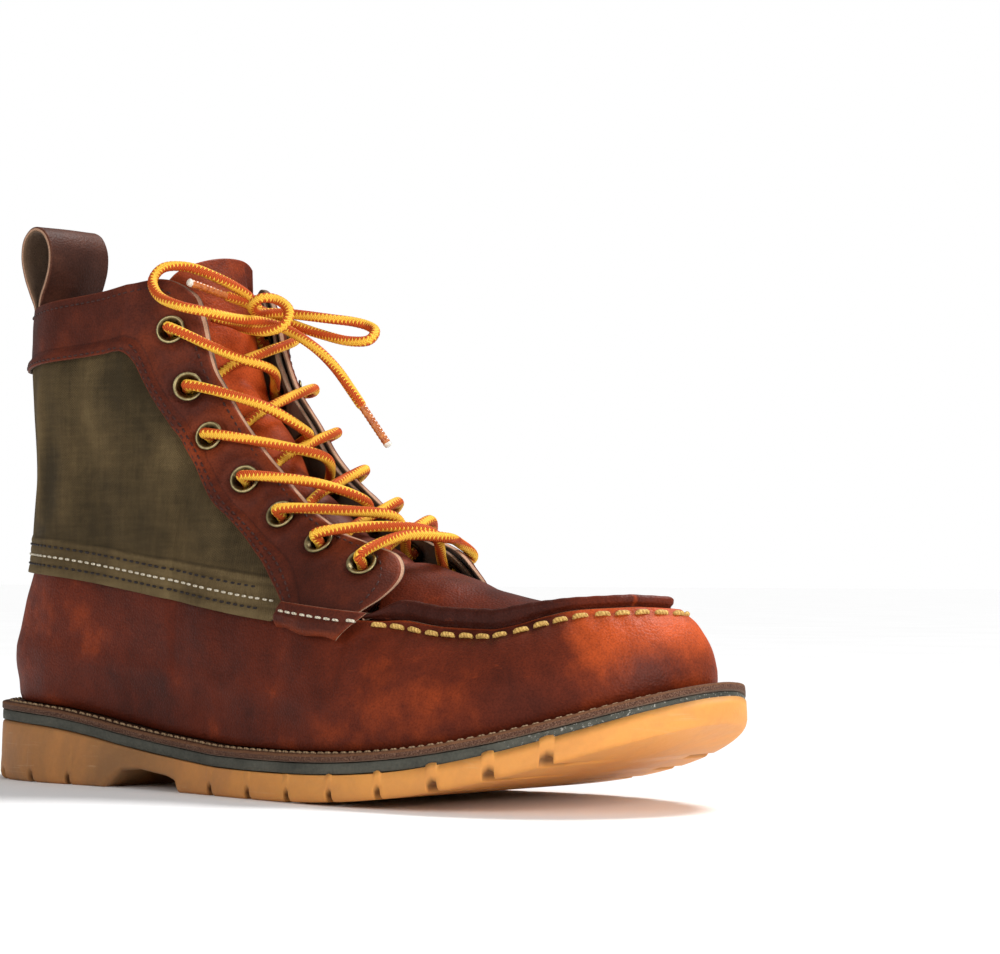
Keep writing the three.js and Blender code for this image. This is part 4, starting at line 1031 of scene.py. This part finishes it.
def add_welt():
    insets = np.array([0.35, 0.42, 0.6, 1.0, 1.8, 2.6, 3.0, 3.4, 3.8, 4.2, 5.2, 7.5, 10, 15])
    fall = np.array([1.0, 0.55, 0.25, 0.07, 0, 0.05, 0.28, 0.42, 0.28, 0.06, 0, 0, 0, 0])
    outer, inner = [], []
    for inset, down in zip(insets, fall):
        p = rim(RING_S, RING_SIDE, inset)
        uneven = 0.16 * ripple(p[:, 0], p[:, 1], 21, 8) + 0.1 * ripple(p[:, 0], p[:, 1], 7, 9)
        p[:, :2] -= (uneven * (inset < 1.5))[:, None] * unit(p[:, :2] - [150, 0])
        top, bottom = p.copy(), p.copy()
        top[:, 2] = welt_z(p[:, 0]) - down
        bottom[:, 2] = welt_z(p[:, 0]) - 2.8 + 0.3 * (inset < 0.5)
        outer.append(top)
        inner.append(bottom)
    outer, inner = np.stack(outer, 1), np.stack(inner, 1)
    inside = np.broadcast_to(insets - 0.35, outer.shape[:2])
    seam = bell(inside, 3.05, 0.4) * 0.5
    slab("welt_strip", outer, inner, [WELT_LEATHER, FLESH, RAW], wrap=True,
         values={"inside": inside, "seam": seam, "raw": 0.1}, replaces=["welt"], slot="welt")
    line = ring_line(3.4, lambda x: welt_z(x) - 0.15)
    line = np.concatenate([line, line[:1]])
    up = np.zeros_like(line) + [0, 0, 1.0]
    stitches("welt_stitches", [(line, up, 3.6, 3.0, 0.52, 0.4)], WELT_THREAD, replaces=["welt_thread"])


def add_sole():
    add_outsole()
    edge = [(0.9, -6.5), (0.7, -6.3), (0.62, -4.8), (0.7, -3.3), (0.9, -3.1)]
    band("midsole_band", [(4, -6.5), *edge, (4, -3.1)], [MIDSOLE], replaces=["midsole"], slot="midsole")
    add_welt()
    edge = [(12.7, 0.4), (12.6, 0.8), (12.6, 2.1), (12.9, 2.6)]
    band("insole_leather", [(20, 0.4), *edge, (20, 2.6)], [INSOLE], replaces=["insole"], slot="insole")
    tail = rim(2.0, LATERAL, 2.6)
    tail[2] = welt_z(tail[0]) + 0.4
    ends = [[(-1.5, -1.0, 1.6), (-3.6, -2.2, 3.9), (-4.6, -1.6, 6.0)],
            [(-0.5, -1.8, 2.0), (-1.0, -4.4, 2.4), (-2.4, -6.4, 3.6)],
            [(1.0, -0.5, 1.8), (0.6, -2.8, 4.4), (1.8, -4.6, 5.6)]]
    for k, offsets in enumerate(ends):
        route = catmull([tail, *(tail + 0.75 * np.array(offsets))], 8)
        tube(f"thread_end_{k + 1}", route, 0.36, 8, [DARK_THREAD], 0.25, None, (0.3, 0.5), slot="thread")


# ---------------------------------------------------------------- foot: vamp, apron, linings
vamp_top = curve([[0, 82], [30, 80], [59, 77], [83, 74], [111, 70], [137, 66], [157, 62.5], [175, 59.5],
                  [202, 58], [222, 55.5], [240, 55], [252, 56.5], [265, 59.5], [277, 62], [290, 63]])
apron_z = curve([[180, 79.6], [190, 76.8], [200, 74], [210, 71.2], [225, 67.5], [240, 65], [255, 64],
                 [270, 64.5], [290, 66]])
SEAM_FROM = 196
SEAM_PITCH = 6.6
SEAM_LEVEL = 0.15


def ridge_rise(s):
    return 0.8 + 6 * ease(190, 205, s) * mix(1, 0.5, ease(248, 280, s))


def seam_line():
    """The moccasin seam from the lateral side round the toe, with the distance along it at each station."""
    half = np.linspace(SEAM_FROM, TIP, 240)
    s = np.concatenate([half, half[-2::-1]])
    side = np.concatenate([np.full(240, LATERAL), np.full(239, MEDIAL)])
    line = skin(s, vamp_top(s) - 1.2, side, SEAM_LEVEL)
    at = lengths(line)
    return line, {LATERAL: at[:240], MEDIAL: at[-1:-241:-1]}, half


SEAM, SEAM_AT, SEAM_S = seam_line()


def gathers(s, side):
    """Phase of the seam's gathers, one for each stitch, and how strong they are."""
    lateral, medial = (np.interp(s, SEAM_S, SEAM_AT[way]) for way in (LATERAL, MEDIAL))
    at = np.where(side == LATERAL, lateral, medial)
    return np.cos(2 * np.pi * at / SEAM_PITCH), ease(198, 208, s)


def add_vamp():
    s, side = RING_S[:, None], RING_SIDE[:, None]
    foot = welt_z(rim(RING_S, RING_SIDE, 7)[:, 0])[:, None] + 0.35
    up = spread(40, 0.9)[None]
    lip = 3.2 * ease(196, 208, s) * mix(1, 0.45, ease(245, 280, s)) * 0.35
    top = vamp_top(s) + lip
    z = mix(foot, top, up)
    pucker, strength = gathers(s, side)
    below = vamp_top(s) - 1.2 - z
    bump = -0.42 * strength * bell(below, 0, 1.5)
    bump = bump - strength * (0.22 * pucker) * bell(np.maximum(below, 0), 0, 4.5) * (below > -2)
    bump = bump + 0.32 * ripple(3 * s, z * 2, 90, 3) + 0.1 * ripple(s * 2, z, 22, 4)
    bump = bump - 0.55 * bell(z, foot, 1.3) + 0.25 * bell(z, foot + 4, 2.5)
    skived = np.where(s < 190, 0.6, 0) * ease(0.35, 0.5, up)
    bump = bump * (1 - 0.6 * (skived > 0))
    # Paler over the toe, most of all high on it: partly the leather paling where it is stretched, partly a
    # painted highlight where the lamp lights the toe.
    pull = 0.04 + 0.06 * ease(170, 240, s) + 0.85 * ease(260, 280, s) * mix(1, 0.1, ease(22, 5, z - foot))
    pull = pull - 0.3 * ease(225, 250, s) * ease(275, 262, s) + 0.18 * bell(s, 62, 22) * bell(z, 52, 10)
    pull = pull - 0.12 * bell(below, 0, 2.5) * strength
    seam = 0.8 * bell(z, foot, 1.0) + 0.35 * strength * bell(below, 0.2, 0.9)
    sheet("vamp", s, z, side, -skived - 2, -skived, [VAMP_LEATHER, LINING, RAW], 0.45, bump, wrap=True,
          values={"pull": pull, "seam": seam, "raw": 0.3}, replaces=["vamp_lower"], slot="vamp")
    stitches("moccasin_stitches", [sewn(SEAM, SEAM_PITCH, 5.9, 0.85, 0.9)], GOLD_THREAD,
             replaces=["apron_thread"])


APRON_PROFILE = curve([[0, -0.06], [0.16, 0.32], [0.32, 0.72], [0.44, 0.93], [0.52, 1.03], [0.6, 1.05],
                       [0.7, 0.97], [0.84, 0.72], [1, 0.45]])
APRON_INWARD = curve([[0, 0.55], [0.12, 0.1], [0.22, -0.7], [0.34, -0.8], [0.44, -0.3], [0.52, 0.5],
                      [0.6, 1.5], [0.7, 2.8], [0.84, 4.4], [1, 6.2]])
APRON_BACK = 192


def add_apron():
    s = np.concatenate([APRON_BACK + np.array([0, 0.1, 0.3, 0.6]), np.linspace(APRON_BACK + 1.1, 232, 40),
                        np.linspace(233, 290, 80)])
    share = np.linspace(0, 1, 24)
    across = np.linspace(0, 1, 60)[1:-1]
    rows, edges = [], []
    for side in (LATERAL, MEDIAL):
        phase, strength = gathers(s, side)
        foot, heading = skin(s, vamp_top(s), side, -2), ray(s, side)[1]
        edges.append(foot - heading * 6.2)
        ridge = []
        for t in share:
            fold = phase * strength * (0.12 * np.sin(np.pi * t / 0.6) if t < 0.6 else 0.03 * (1 - t))
            p = foot - heading * (APRON_INWARD(t) - fold)[:, None]
            p[:, 2] += 0.4 + ridge_rise(s) * (APRON_PROFILE(t) + 0.012 * phase * strength * (0.3 < t < 0.8))
            ridge.append(p)
        rows.append(ridge)
    middle = []
    for t in across:
        p = mix(*edges, t)
        inside = np.sin(np.pi * t)
        base = p[:, 2] + 0.4 + ridge_rise(s) * 0.45
        p[:, 2] = mix(base, np.maximum(apron_z(p[:, 0]), base - 0.6), inside**0.9)
        p[:, 0] -= 4 * inside * (1 - ease(202, 232, s))
        fade = inside * (1 - ease(206, 222, p[:, 0])) * (p[:, 0] < 222)
        p[:, 2] = mix(p[:, 2], apron_z(p[:, 0]), fade)
        p[:, 2] += 0.22 * ripple(p[:, 0], p[:, 1], 26, 12) * inside
        middle.append(p)
    outer = np.stack(rows[0] + middle + rows[1][::-1], 1)
    over_ridge = np.concatenate([share, 1 + 0 * across, share[::-1]])
    inner = outer - 1.7 * grid_normals(outer)
    inside, fall = worn(outer, 0.6, False, "i")
    outer = outer - (fall * (over_ridge > 0.9))[..., None] * grid_normals(outer)
    away = over_ridge[None] + 0 * inside
    seam = 0.75 * bell(away, 0, 0.12) + 0.25 * bell(away, 0.98, 0.12) * (away < 0.999)
    # Paler toward the toe, partly stretched leather and partly a painted highlight on the lit toe; painted
    # highlight across the apron's top crown; painted shade on the lower half of the ridge.
    crown_painted_highlight = np.sin(np.pi * np.linspace(0, 1, outer.shape[1]))
    pull = 0.55 * ease(250, 285, s)[:, None] - 0.25 + 0.3 * (away >= 0.999) * crown_painted_highlight - 0.22 * (away < 0.5)
    slab("apron_leather", outer, inner, [VAMP_LEATHER, FLESH, RAW], merge=True, replaces=["apron"],
         slot="vamp", values={"inside": inside, "seam": seam, "pull": pull, "raw": 0.75})


def grid_normals(grid):
    """Outward ways of a grid of points, from its own slopes."""
    a, b = np.gradient(grid, axis=0), np.gradient(grid, axis=1)
    n = unit(np.cross(a, b))
    return n * np.sign(n[..., 2].sum())


def add_heel_inside():
    s = np.concatenate([np.linspace(84, 0, 60), np.linspace(1.4, 84, 59)])[:, None]
    side = np.concatenate([np.full(60, LATERAL), np.full(59, MEDIAL)])[:, None]
    foot = welt_z(rim(s[:, 0], side[:, 0], 0)[:, 0])[:, None] + 3.2
    top = np.interp(s, [0, 40, 84], [76, 73, 58])
    z = mix(foot, top, spread(40, 1.6)[None])
    bump = 0.15 * ripple(s, z, 30, 21)
    sheet("heel_lining_suede", s, z, side, -6.5, -5.0, [LINING, LINING, RAW], 0.4, bump, values={"raw": 0.4},
          replaces=["heel_lining"], slot="lining")
    for node, finish in (("cork_filler", CORK), ("shank", STEEL), ("heel_counter", LINING)):
        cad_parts[node].data.materials.clear()
        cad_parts[node].data.materials.append(finish)


add_sole()
add_vamp()
add_apron()
add_heel_inside()


# ---------------------------------------------------------------- quarters
canvas_low = curve([[5, 75], [20, 74], [40, 73], [60, 71], [83, 68], [111, 64], [137, 60], [157, 57.8]])
canvas_row = curve([[6, 25], [13, 24], [20, 23], [27, 22], [33, 21], [39, 20.2], [49, 19], [60, 18],
                    [70, 16.5], [78, 15], [86, 13], [94, 11], [103, 9], [113, 7], [122, 5.5], [131, 4],
                    [140, 2.6], [149, 1.4], [156, 0.5]])
HEM = 12.5
BLACK_LOW, WHITE_MIDDLE, BLACK_HIGH = 3.4, 6.6, 10.2


def canvas_level(s, rise):
    """Outer face of the canvas at a height above its lower edge: doubled hem, folds, pull of the sewing."""
    hem = 0.55 * ease(HEM + 0.7, HEM - 0.3, rise)
    rows = sum(0.32 * bell(rise, h, 0.8) for h in (BLACK_LOW, WHITE_MIDDLE, BLACK_HIGH))
    tall = ease(12, 30, rise) * ease(86, 60, rise)
    folds = (1.3 * bell(s, 31 + 0.10 * rise, 4.2) - 0.5 * bell(s, 41 + 0.12 * rise, 5)
             + 0.9 * bell(s, 52 - 0.05 * rise, 5.5) + 0.5 * bell(s, 84 - 0.28 * rise, 7))
    return 1.5 + hem - rows * (rise < HEM) + tall * folds + 0.28 * ease(8, 25, rise) * ripple(s, rise, 31, 14)


def add_canvas(name, side):
    s = np.linspace(6, 156.4, 190)
    row = canvas_row(s)
    low = canvas_low(s)
    top_s, top_z = facing_at(row, np.full_like(s, 0.94))
    high = skin(top_s, top_z, side, 1.0)
    high_s = np.where(s < 55, s, high[:, 0])
    up = spread(70, 0.75)[None]
    ss, z = mix(s[:, None], high_s[:, None], up), mix(low[:, None], top_z[:, None], up)
    rise = z - low[:, None]
    level = canvas_level(ss, rise)
    pull = np.clip((level - 1.5) * 0.5, -0.3, 0.8) + 0.25 * bell(rise, 0, 1.6) + 0.3 * (rise < HEM)
    seam = sum(0.35 * bell(rise, h, 0.6) for h in (BLACK_LOW, BLACK_HIGH))
    seam = seam + 0.6 * bell(rise, HEM + 0.7, 0.5)
    sheet(f"canvas_{name}", ss, z, side, 0.4, 1.5, [CANVAS, CANVAS_BACK, CANVAS_BACK], 0.4, level - 1.5,
          values={"pull": pull, "seam": seam}, replaces=[f"canvas_quarter_{name}"], slot="canvas")

    def hem_row(rise, stop, long, radius):
        t = np.linspace(9, stop, 300)
        return sewn(skin(t, canvas_low(t) + rise, side, canvas_level(t, rise)), 3.3, long, radius, 0.8)

    dark = [hem_row(BLACK_LOW, 152, 2.3, 0.4), hem_row(BLACK_HIGH, 150, 2.3, 0.4)]
    stitches(f"hem_stitches_dark_{name}", dark, DARK_THREAD)
    stitches(f"hem_stitches_white_{name}", [hem_row(WHITE_MIDDLE, 158, 2.5, 0.42)], WHITE_THREAD)


def facing_levels(row, across):
    """Inner and outer face of the facing and collar, stepping out over the canvas and the heel strip."""
    on_canvas = ease(0.79, 0.89, across)
    on_strip = ease(22.9, 24.0, row) * on_canvas
    return 0.2 + 2.0 * on_canvas + 1.6 * on_strip, 1.9 + 1.7 * on_canvas + 1.6 * on_strip


def punch(side):
    """Turns the sheet's cells near each eyelet into a round hole."""
    radius = 3.5

    def snap(outer, inner):
        mask = np.ones((outer.shape[0] - 1, outer.shape[1] - 1), bool)
        for e in PLACES[side]:
            flat = np.linalg.norm(np.cross(outer - e["at"], e["out"]), axis=-1)
            near = np.linalg.norm(outer - e["at"], axis=-1) < 12
            inside = near & (flat < radius - 0.25)
            cell = inside[:-1, :-1] | inside[1:, :-1] | inside[:-1, 1:] | inside[1:, 1:]
            mask &= ~cell
            touched = np.zeros_like(inside)
            for a in (slice(None, -1), slice(1, None)):
                for b in (slice(None, -1), slice(1, None)):
                    touched[a, b] |= cell
            edge = touched & ~inside
            for grid in (outer, inner):
                away = grid[edge] - e["at"]
                height = (away @ e["out"])[:, None] * e["out"]
                grid[edge] = e["at"] + height + unit(away - height) * radius
        return outer, inner, mask
    return snap


def add_facing(name, side):
    along_rows = np.concatenate([[0, 0.006, 0.018, 0.035], np.linspace(0.07, LAST_ROW, 420)])
    across = spread(32, 0.85, (0, 0.12, 0.32, 0.6))
    row, share = np.meshgrid(along_rows, across, indexing="ij")
    s, z = facing_at(along_rows[:, None], across[None])
    low, high = facing_levels(row, share)
    bump = 0.16 * ripple(s * 2, z * 2, 60, 33) + 0.07 * ripple(s, z, 9, 34)
    points = skin(s, z, side, high)
    for e in PLACES[side]:
        far = np.linalg.norm(points - e["at"], axis=-1)
        bump = bump - 0.38 * bell(far, 5.2, 1.2) + 0.3 * bell(far, 8.2, 1.8)
    collar = ease(13.5, 16.5, row)
    front = 1 - collar
    cut_in = s - s[:, :1]
    bump = bump - 0.25 * bell(share, 0.88, 0.03) - 0.2 * bell(share, 0.97, 0.02)
    pull = 0.05 + front * (0.16 + 0.22 * ripple(s, z, 34, 35) + 0.2 * bell(cut_in, 0, 3)) - 0.1 * collar
    pull = pull + front * 0.25 * ease(60, 150, z) * bell(share, 0.75, 0.12)
    seam = 0.5 * bell(share, 0.79, 0.02) * (row > 0.5)
    sheet(f"facing_leather_{name}", s, z, side, low, high, [UPPER_LEATHER, FLESH, RAW], 0.42, bump,
          snap=punch(side), values={"pull": pull, "seam": seam, "raw": 0.15 + 0.85 * front},
          replaces=[f"facing_{name}"], slot="leather")
    lines = []
    for share_at, start, stop in ((0.955, 0.4, LAST_ROW - 0.1), (0.87, 1.0, 15.5), (0.1, 0.5, 15.2)):
        t = np.linspace(start, stop, 500)
        level = facing_levels(t, share_at)[1] - 0.1
        lines.append(sewn(skin(*facing_at(t, np.full_like(t, share_at)), side, level)))
    t = np.linspace(15.4, LAST_ROW - 0.1, 400)
    lines.append(sewn(skin(*facing_at(t, np.full_like(t, 0.13)), side, 2.0), 2.7, 2.0))
    stitches(f"facing_stitches_{name}", lines, RED_THREAD)
    back_rows = np.linspace(1, LAST_ROW, 260)
    s, z = facing_at(back_rows[:, None], spread(36, 1.4)[None] * 1.02 + 0.08)
    sheet(f"facing_lining_{name}", s, z, side, FACING_BACK, -0.5, [LINING, LINING, RAW], 0.4,
          0.1 * ripple(s, z, 20, 36), snap=punch(side), values={"raw": 0.5},
          replaces=[f"facing_backing_{name}"], slot="lining")


def tab_at(i, up):
    """Station and height on the tab: i from its back to its front, up from its lower to its upper edge."""
    return mix(mix(160, 188, i), mix(163, 197, i), up), mix(mix(56, 52, i), mix(64.5, 61, i), up)


def add_tab(name, side):
    """Small patch holding the foot of the facing down over the seam."""
    i, up = np.linspace(0, 1, 44)[:, None], spread(10, 0.35, (0, 0.1, 0.3, 0.5))[None]
    level = np.interp(up, [0, 0.28, 0.5, 1], [0.9, 3.2, 3.9, 3.9])
    s, z = tab_at(i, up)
    s = s + 1.6 * np.sin(np.pi * up) * (i - 0.5)
    z = z + 0.5 * np.sin(np.pi * i * 3) * (1 - up)
    bump = 0.25 * bell(up, 0.12, 0.1) - 0.3 * bell(up, 0.62, 0.08) + 0.12 * ripple(s, z, 9, 41)
    sheet(f"eyestay_tab_leather_{name}", s, z, side, level, level + 1.2, [UPPER_LEATHER, FLESH, RAW], 0.4,
          bump, values={"pull": 0.2 + 0.5 * bell(up, 0.1, 0.14), "raw": 0.6},
          replaces=[f"eyestay_tab_{name}"], slot="leather")
    line = skin(*tab_at(np.linspace(0.02, 0.93, 60), 0.66), side, 5.0)
    short = skin(np.linspace(191.5, 195.8, 12), np.linspace(58.6, 58.2, 12), side, 5.1)
    rows = [sewn(line, 3.5, 2.7, 0.42), sewn(short, 4.3, 3.9, 0.55, 0.9)]
    stitches(f"tab_stitches_{name}", rows, WHITE_THREAD)


def strip_level(z):
    """Inner face of the heel strip, stepping out over the vamp's top."""
    return np.interp(z, [60, 68, 74, 84], [0.6, 0.8, 1.9, 1.9])


def strip_taper(z):
    return mix(1, 0.85, ease(60, 110, z))


def add_heel_strip():
    low = welt_z(0.0) + 0.4
    z = np.concatenate([low + np.array([0, 0.12, 0.32, 0.6]), np.linspace(low + 1.2, 146.9, 130)])[:, None]
    even = np.linspace(-1, 1, 31)
    even = np.sign(even) * np.abs(even) ** 0.8
    close = np.array([-1, -0.99, -0.97, -0.94])
    across = np.concatenate([close, even[np.abs(even) < 0.92], -close[::-1]])[None]
    s = np.abs(across) * 12 * strip_taper(z)
    side = np.where(across < 0, LATERAL, MEDIAL) + 0 * z
    level = strip_level(z)
    bump = -0.25 * bell(np.abs(across), 0.8, 0.05) + 0.08 * ripple(s * across, z, 15, 44)
    seam = 0.4 * bell(np.abs(across), 1, 0.03)
    sheet("heel_strip_leather", s, z, side, level, level + 1.3, [STRAP_LEATHER, FLESH, RAW], 0.45, bump,
          values={"pull": 0.12 + 0.1 * ripple(z, s, 40, 45), "seam": seam, "raw": 0.1},
          replaces=["back_strip"], slot="leather")
    t = np.linspace(low + 3, 143, 240)
    rows = [sewn(skin(9.6 * strip_taper(t), t, sign, strip_level(t) + 1.2)) for sign in (LATERAL, MEDIAL)]
    stitches("heel_strip_stitches", rows, RED_THREAD)


EYELET_BARREL = [[2.62, -0.4], [3.2, -0.55], [3.9, -0.4], [4.0, 0], [3.32, 0.02]]
EYELET_RIM = [[3.3, -0.05], [4.7, -0.06], [5.02, 0.03], [5.14, 0.25], [5.08, 0.52], [4.86, 0.76],
              [4.55, 0.84], [4.2, 0.76], [3.85, 0.56], [3.5, 0.28], [3.2, -0.02], [2.95, -0.4],
              [2.75, -0.85], [2.63, -1.4]]


def add_eyelet(name, e, node):
    """Rolled brass ring: (radius, height) outline turned round the eyelet's own axis."""
    back, front, turns = -e["depth"] - 0.3, e["seat"] + 0.3, 48
    angle = 2 * np.pi * np.arange(turns)[:, None] / turns
    barrel, rim = np.array(EYELET_BARREL) + [0, back], np.array(EYELET_RIM) + [0, front]
    r, h = np.concatenate([barrel, rim, [[2.6, (back + front) / 2]]]).T
    ring = np.stack([r * np.cos(angle), r * np.sin(angle), h + 0 * angle], -1) @ e["turn"].T + e["at"]
    n = len(r)
    i, j = (a.ravel() for a in np.meshgrid(np.arange(turns), np.arange(n), indexing="ij"))
    here, after, up = i * n, (i + 1) % turns * n, (j + 1) % n
    faces = np.stack([here + j, after + j, after + up, here + up], 1)
    rub = bell(h, front + 0.8, 0.3) * bell(r, 4.6, 0.5)
    build(name, ring.reshape(-1, 3), faces, [BRASS], values={"rub": np.tile(rub, turns)}, replaces=[node],
          slot="brass")


def add_eyelets():
    for name, side in SIDES:
        for k, e in enumerate(PLACES[side]):
            add_eyelet(f"eyelet_ring_{name}_{k + 1}", e, f"eyelet_{name}_{k + 1}")


# ---------------------------------------------------------------- tongue and pull loop
TONGUE_TOP_HALF = 17.6


def add_tongue():
    half = curve([[113, 25], [140, 26], [180, 24], [200, 22]])
    drop = curve([[160, 0], [178, 0.5], [186, 2.4], [193, 3.8], [200, 4]])
    free = np.concatenate([1 - np.array([0, 0.12, 0.32, 0.6]) / 40, np.linspace(0.97, 0.02, 44)])
    x = np.concatenate([np.full(len(free), 113.0), np.linspace(113, 200, 100)])[:, None]
    up = np.concatenate([free, np.zeros(100)])[:, None]
    across = (spread(50, 1.1) * 2 - 1)[None]
    y = half(x) * across
    wave = 0.125 * ripple(x - 60 * up, y, 33, 51)
    level = -8.2 - drop(x) - 0.36 * ease(127.2, 128.4, x) + np.minimum(wave, 0.3)
    top_y = TONGUE_TOP_HALF * across
    top_z = 185 - 0.0114 * (top_y - 7) ** 2 - 2.2 * np.abs(across) ** 8
    top = np.stack([91.9 - 0.0075 * (top_y - 10) ** 2, top_y, top_z], -1)
    behind = np.array([-0.935, 0, -0.353])

    def face(depth):
        return mix(over(x, y, level - depth), top + behind * depth, up[..., None])

    inside, fall = worn(face(0.9), 0.5, False)
    near, far = face(0.0), face(1.8)
    way = unit(near - far)
    outer, inner = near - way * fall[..., None], far + way * fall[..., None]
    down = x - 40 * up
    pull = 0.2 + 1.7 * bell(down, 108, 22) * bell(y, -2, 14) + 0.08 * ripple(down, y, 25, 52)
    slab("tongue_leather", outer, inner, [VAMP_LEATHER, FLESH, RAW],
         values={"inside": inside, "pull": pull, "seam": 0.7 * bell(x, 127.4, 0.7), "raw": 0.35},
         body="tongue", replaces=["tongue"], slot="leather")
    row = sewn(over(125.6, np.linspace(-23, 23, 80), -8.2), radius=0.36)
    stitches("tongue_stitches", [row], DARK_THREAD, body="tongue")


LOOP_LINE = [[11.9, 166.5], [11.6, 171], [9.2, 176], [6.4, 182], [4.8, 189], [6.2, 195.5], [10.8, 199],
             [16, 197.6], [19.2, 192.5], [19.4, 186], [17.4, 179.5], [15, 174.5], [14.1, 171],
             [14.0, 166.5]]


def add_pull_loop():
    line = catmull([[x, 0, z] for x, z in LOOP_LINE], 12)
    way = unit(np.gradient(line, axis=0))
    normal = np.stack([way[:, 2], 0 * way[:, 0], -way[:, 0]], -1)
    across = (spread(28, 1.0) * 2 - 1)[None, :, None]
    middle = line[:, None] + np.array([0, 14.0, 0]) * across
    uneven = 0.25 * ripple(middle[..., 1], middle[..., 2], 25, 61)
    middle[..., 0] += 0.5 * np.cos(np.pi * across[..., 0]) + uneven
    inside, fall = worn(middle, 0.6, False, "j")
    n = normal[:, None]
    grip = 1 - 0.55 * (1 - ease(168, 173, line[:, 2]))[:, None, None]
    outer, inner = middle - n * (1.0 - fall[..., None]) * grip, middle + n * (1.0 - fall[..., None]) * grip
    z = middle[..., 2]
    loop = slab("pull_loop_strap", outer, inner, [STRAP_LEATHER, FLESH, RAW],
                values={"inside": inside, "seam": 0.6 * bell(z, 171.5, 1.2), "raw": 0.75,
                        "pull": 0.25 + 0.3 * bell(z, 197, 5)}, body=None, replaces=["pull_loop"],
                slot="leather")
    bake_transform(loop)
    i, j = np.linspace(-1, 1, 26)[:, None], spread(19, 0.9)[None]
    sheet("pull_loop_root", np.abs(i) * 17, 148 + 19.2 * j, np.where(i < 0, LATERAL, MEDIAL), -4.3, -2.8,
          [FLESH, STRAP_LEATHER, RAW], 0.4, values={"raw": 0.5, "pull": 0.2}, replaces=["pull_loop_tail"],
          slot="leather")
    t = np.linspace(-15, 15, 60)
    way = np.where(t < 0, LATERAL, MEDIAL)
    rows = [sewn(skin(np.abs(t), height, way, -4.3), radius=0.36, way=-1) for height in (151.5, 163.0)]
    stitches("loop_root_stitches", rows, DARK_THREAD)


for side_name, side_sign in SIDES:
    add_canvas(side_name, side_sign)
    add_facing(side_name, side_sign)
    add_tab(side_name, side_sign)
add_heel_strip()
add_eyelets()
add_tongue()
add_pull_loop()


# ---------------------------------------------------------------- floor and light
def add_light(name, place, aim, size, power):
    data = bpy.data.lights.new(name, "AREA")
    data.shape, data.size, data.size_y = "RECTANGLE", size[0], size[1]
    data.energy = power
    lamp = bpy.data.objects.new(name, data)
    place = Vector(place)
    lamp.rotation_euler = (Vector(aim) - place).to_track_quat("-Z", "Y").to_euler()
    lamp.location = place
    bpy.context.scene.collection.objects.link(lamp)


AMBIENT = 0.33


def add_studio():
    mesh = bpy.data.meshes.new("floor")
    mesh.from_pydata([(-30, -30, 0), (30, -30, 0), (30, 30, 0), (-30, 30, 0)], [], [(0, 1, 2, 3)])
    mesh.materials.append(floor_finish())
    floor = bpy.data.objects.new("floor", mesh)
    bpy.context.scene.collection.objects.link(floor)
    world = bpy.data.worlds.new("studio")
    world.use_nodes = True
    nodes, links = world.node_tree.nodes, world.node_tree.links
    seen, strength = nodes.new("ShaderNodeLightPath"), nodes.new("ShaderNodeMath")
    strength.operation = "MULTIPLY_ADD"
    links.new(seen.outputs["Is Camera Ray"], strength.inputs[0])
    strength.inputs[1].default_value, strength.inputs[2].default_value = 1 - AMBIENT, AMBIENT
    nodes["Background"].inputs[0].default_value = (1, 1, 1, 1)
    links.new(strength.outputs[0], nodes["Background"].inputs[1])
    bpy.context.scene.world = world
    bpy.context.scene.view_settings.view_transform = "Standard"
    sky = bpy.data.lights.new("overhead", "SUN")
    sky.energy, sky.angle = 2.8, 0.35
    overhead = bpy.data.objects.new("overhead", sky)
    overhead.rotation_euler = Vector((-0.12, -0.5, -0.86)).to_track_quat("-Z", "Y").to_euler()
    bpy.context.scene.collection.objects.link(overhead)
    add_light("key", (1.3, -0.2, 0.5), (0.1, 0, 0.06), (0.5, 0.5), 11)
    add_light("fill", (0.1, -1.4, 0.7), (0, 0, 0.06), (0.9, 0.6), 5.5)


add_studio()
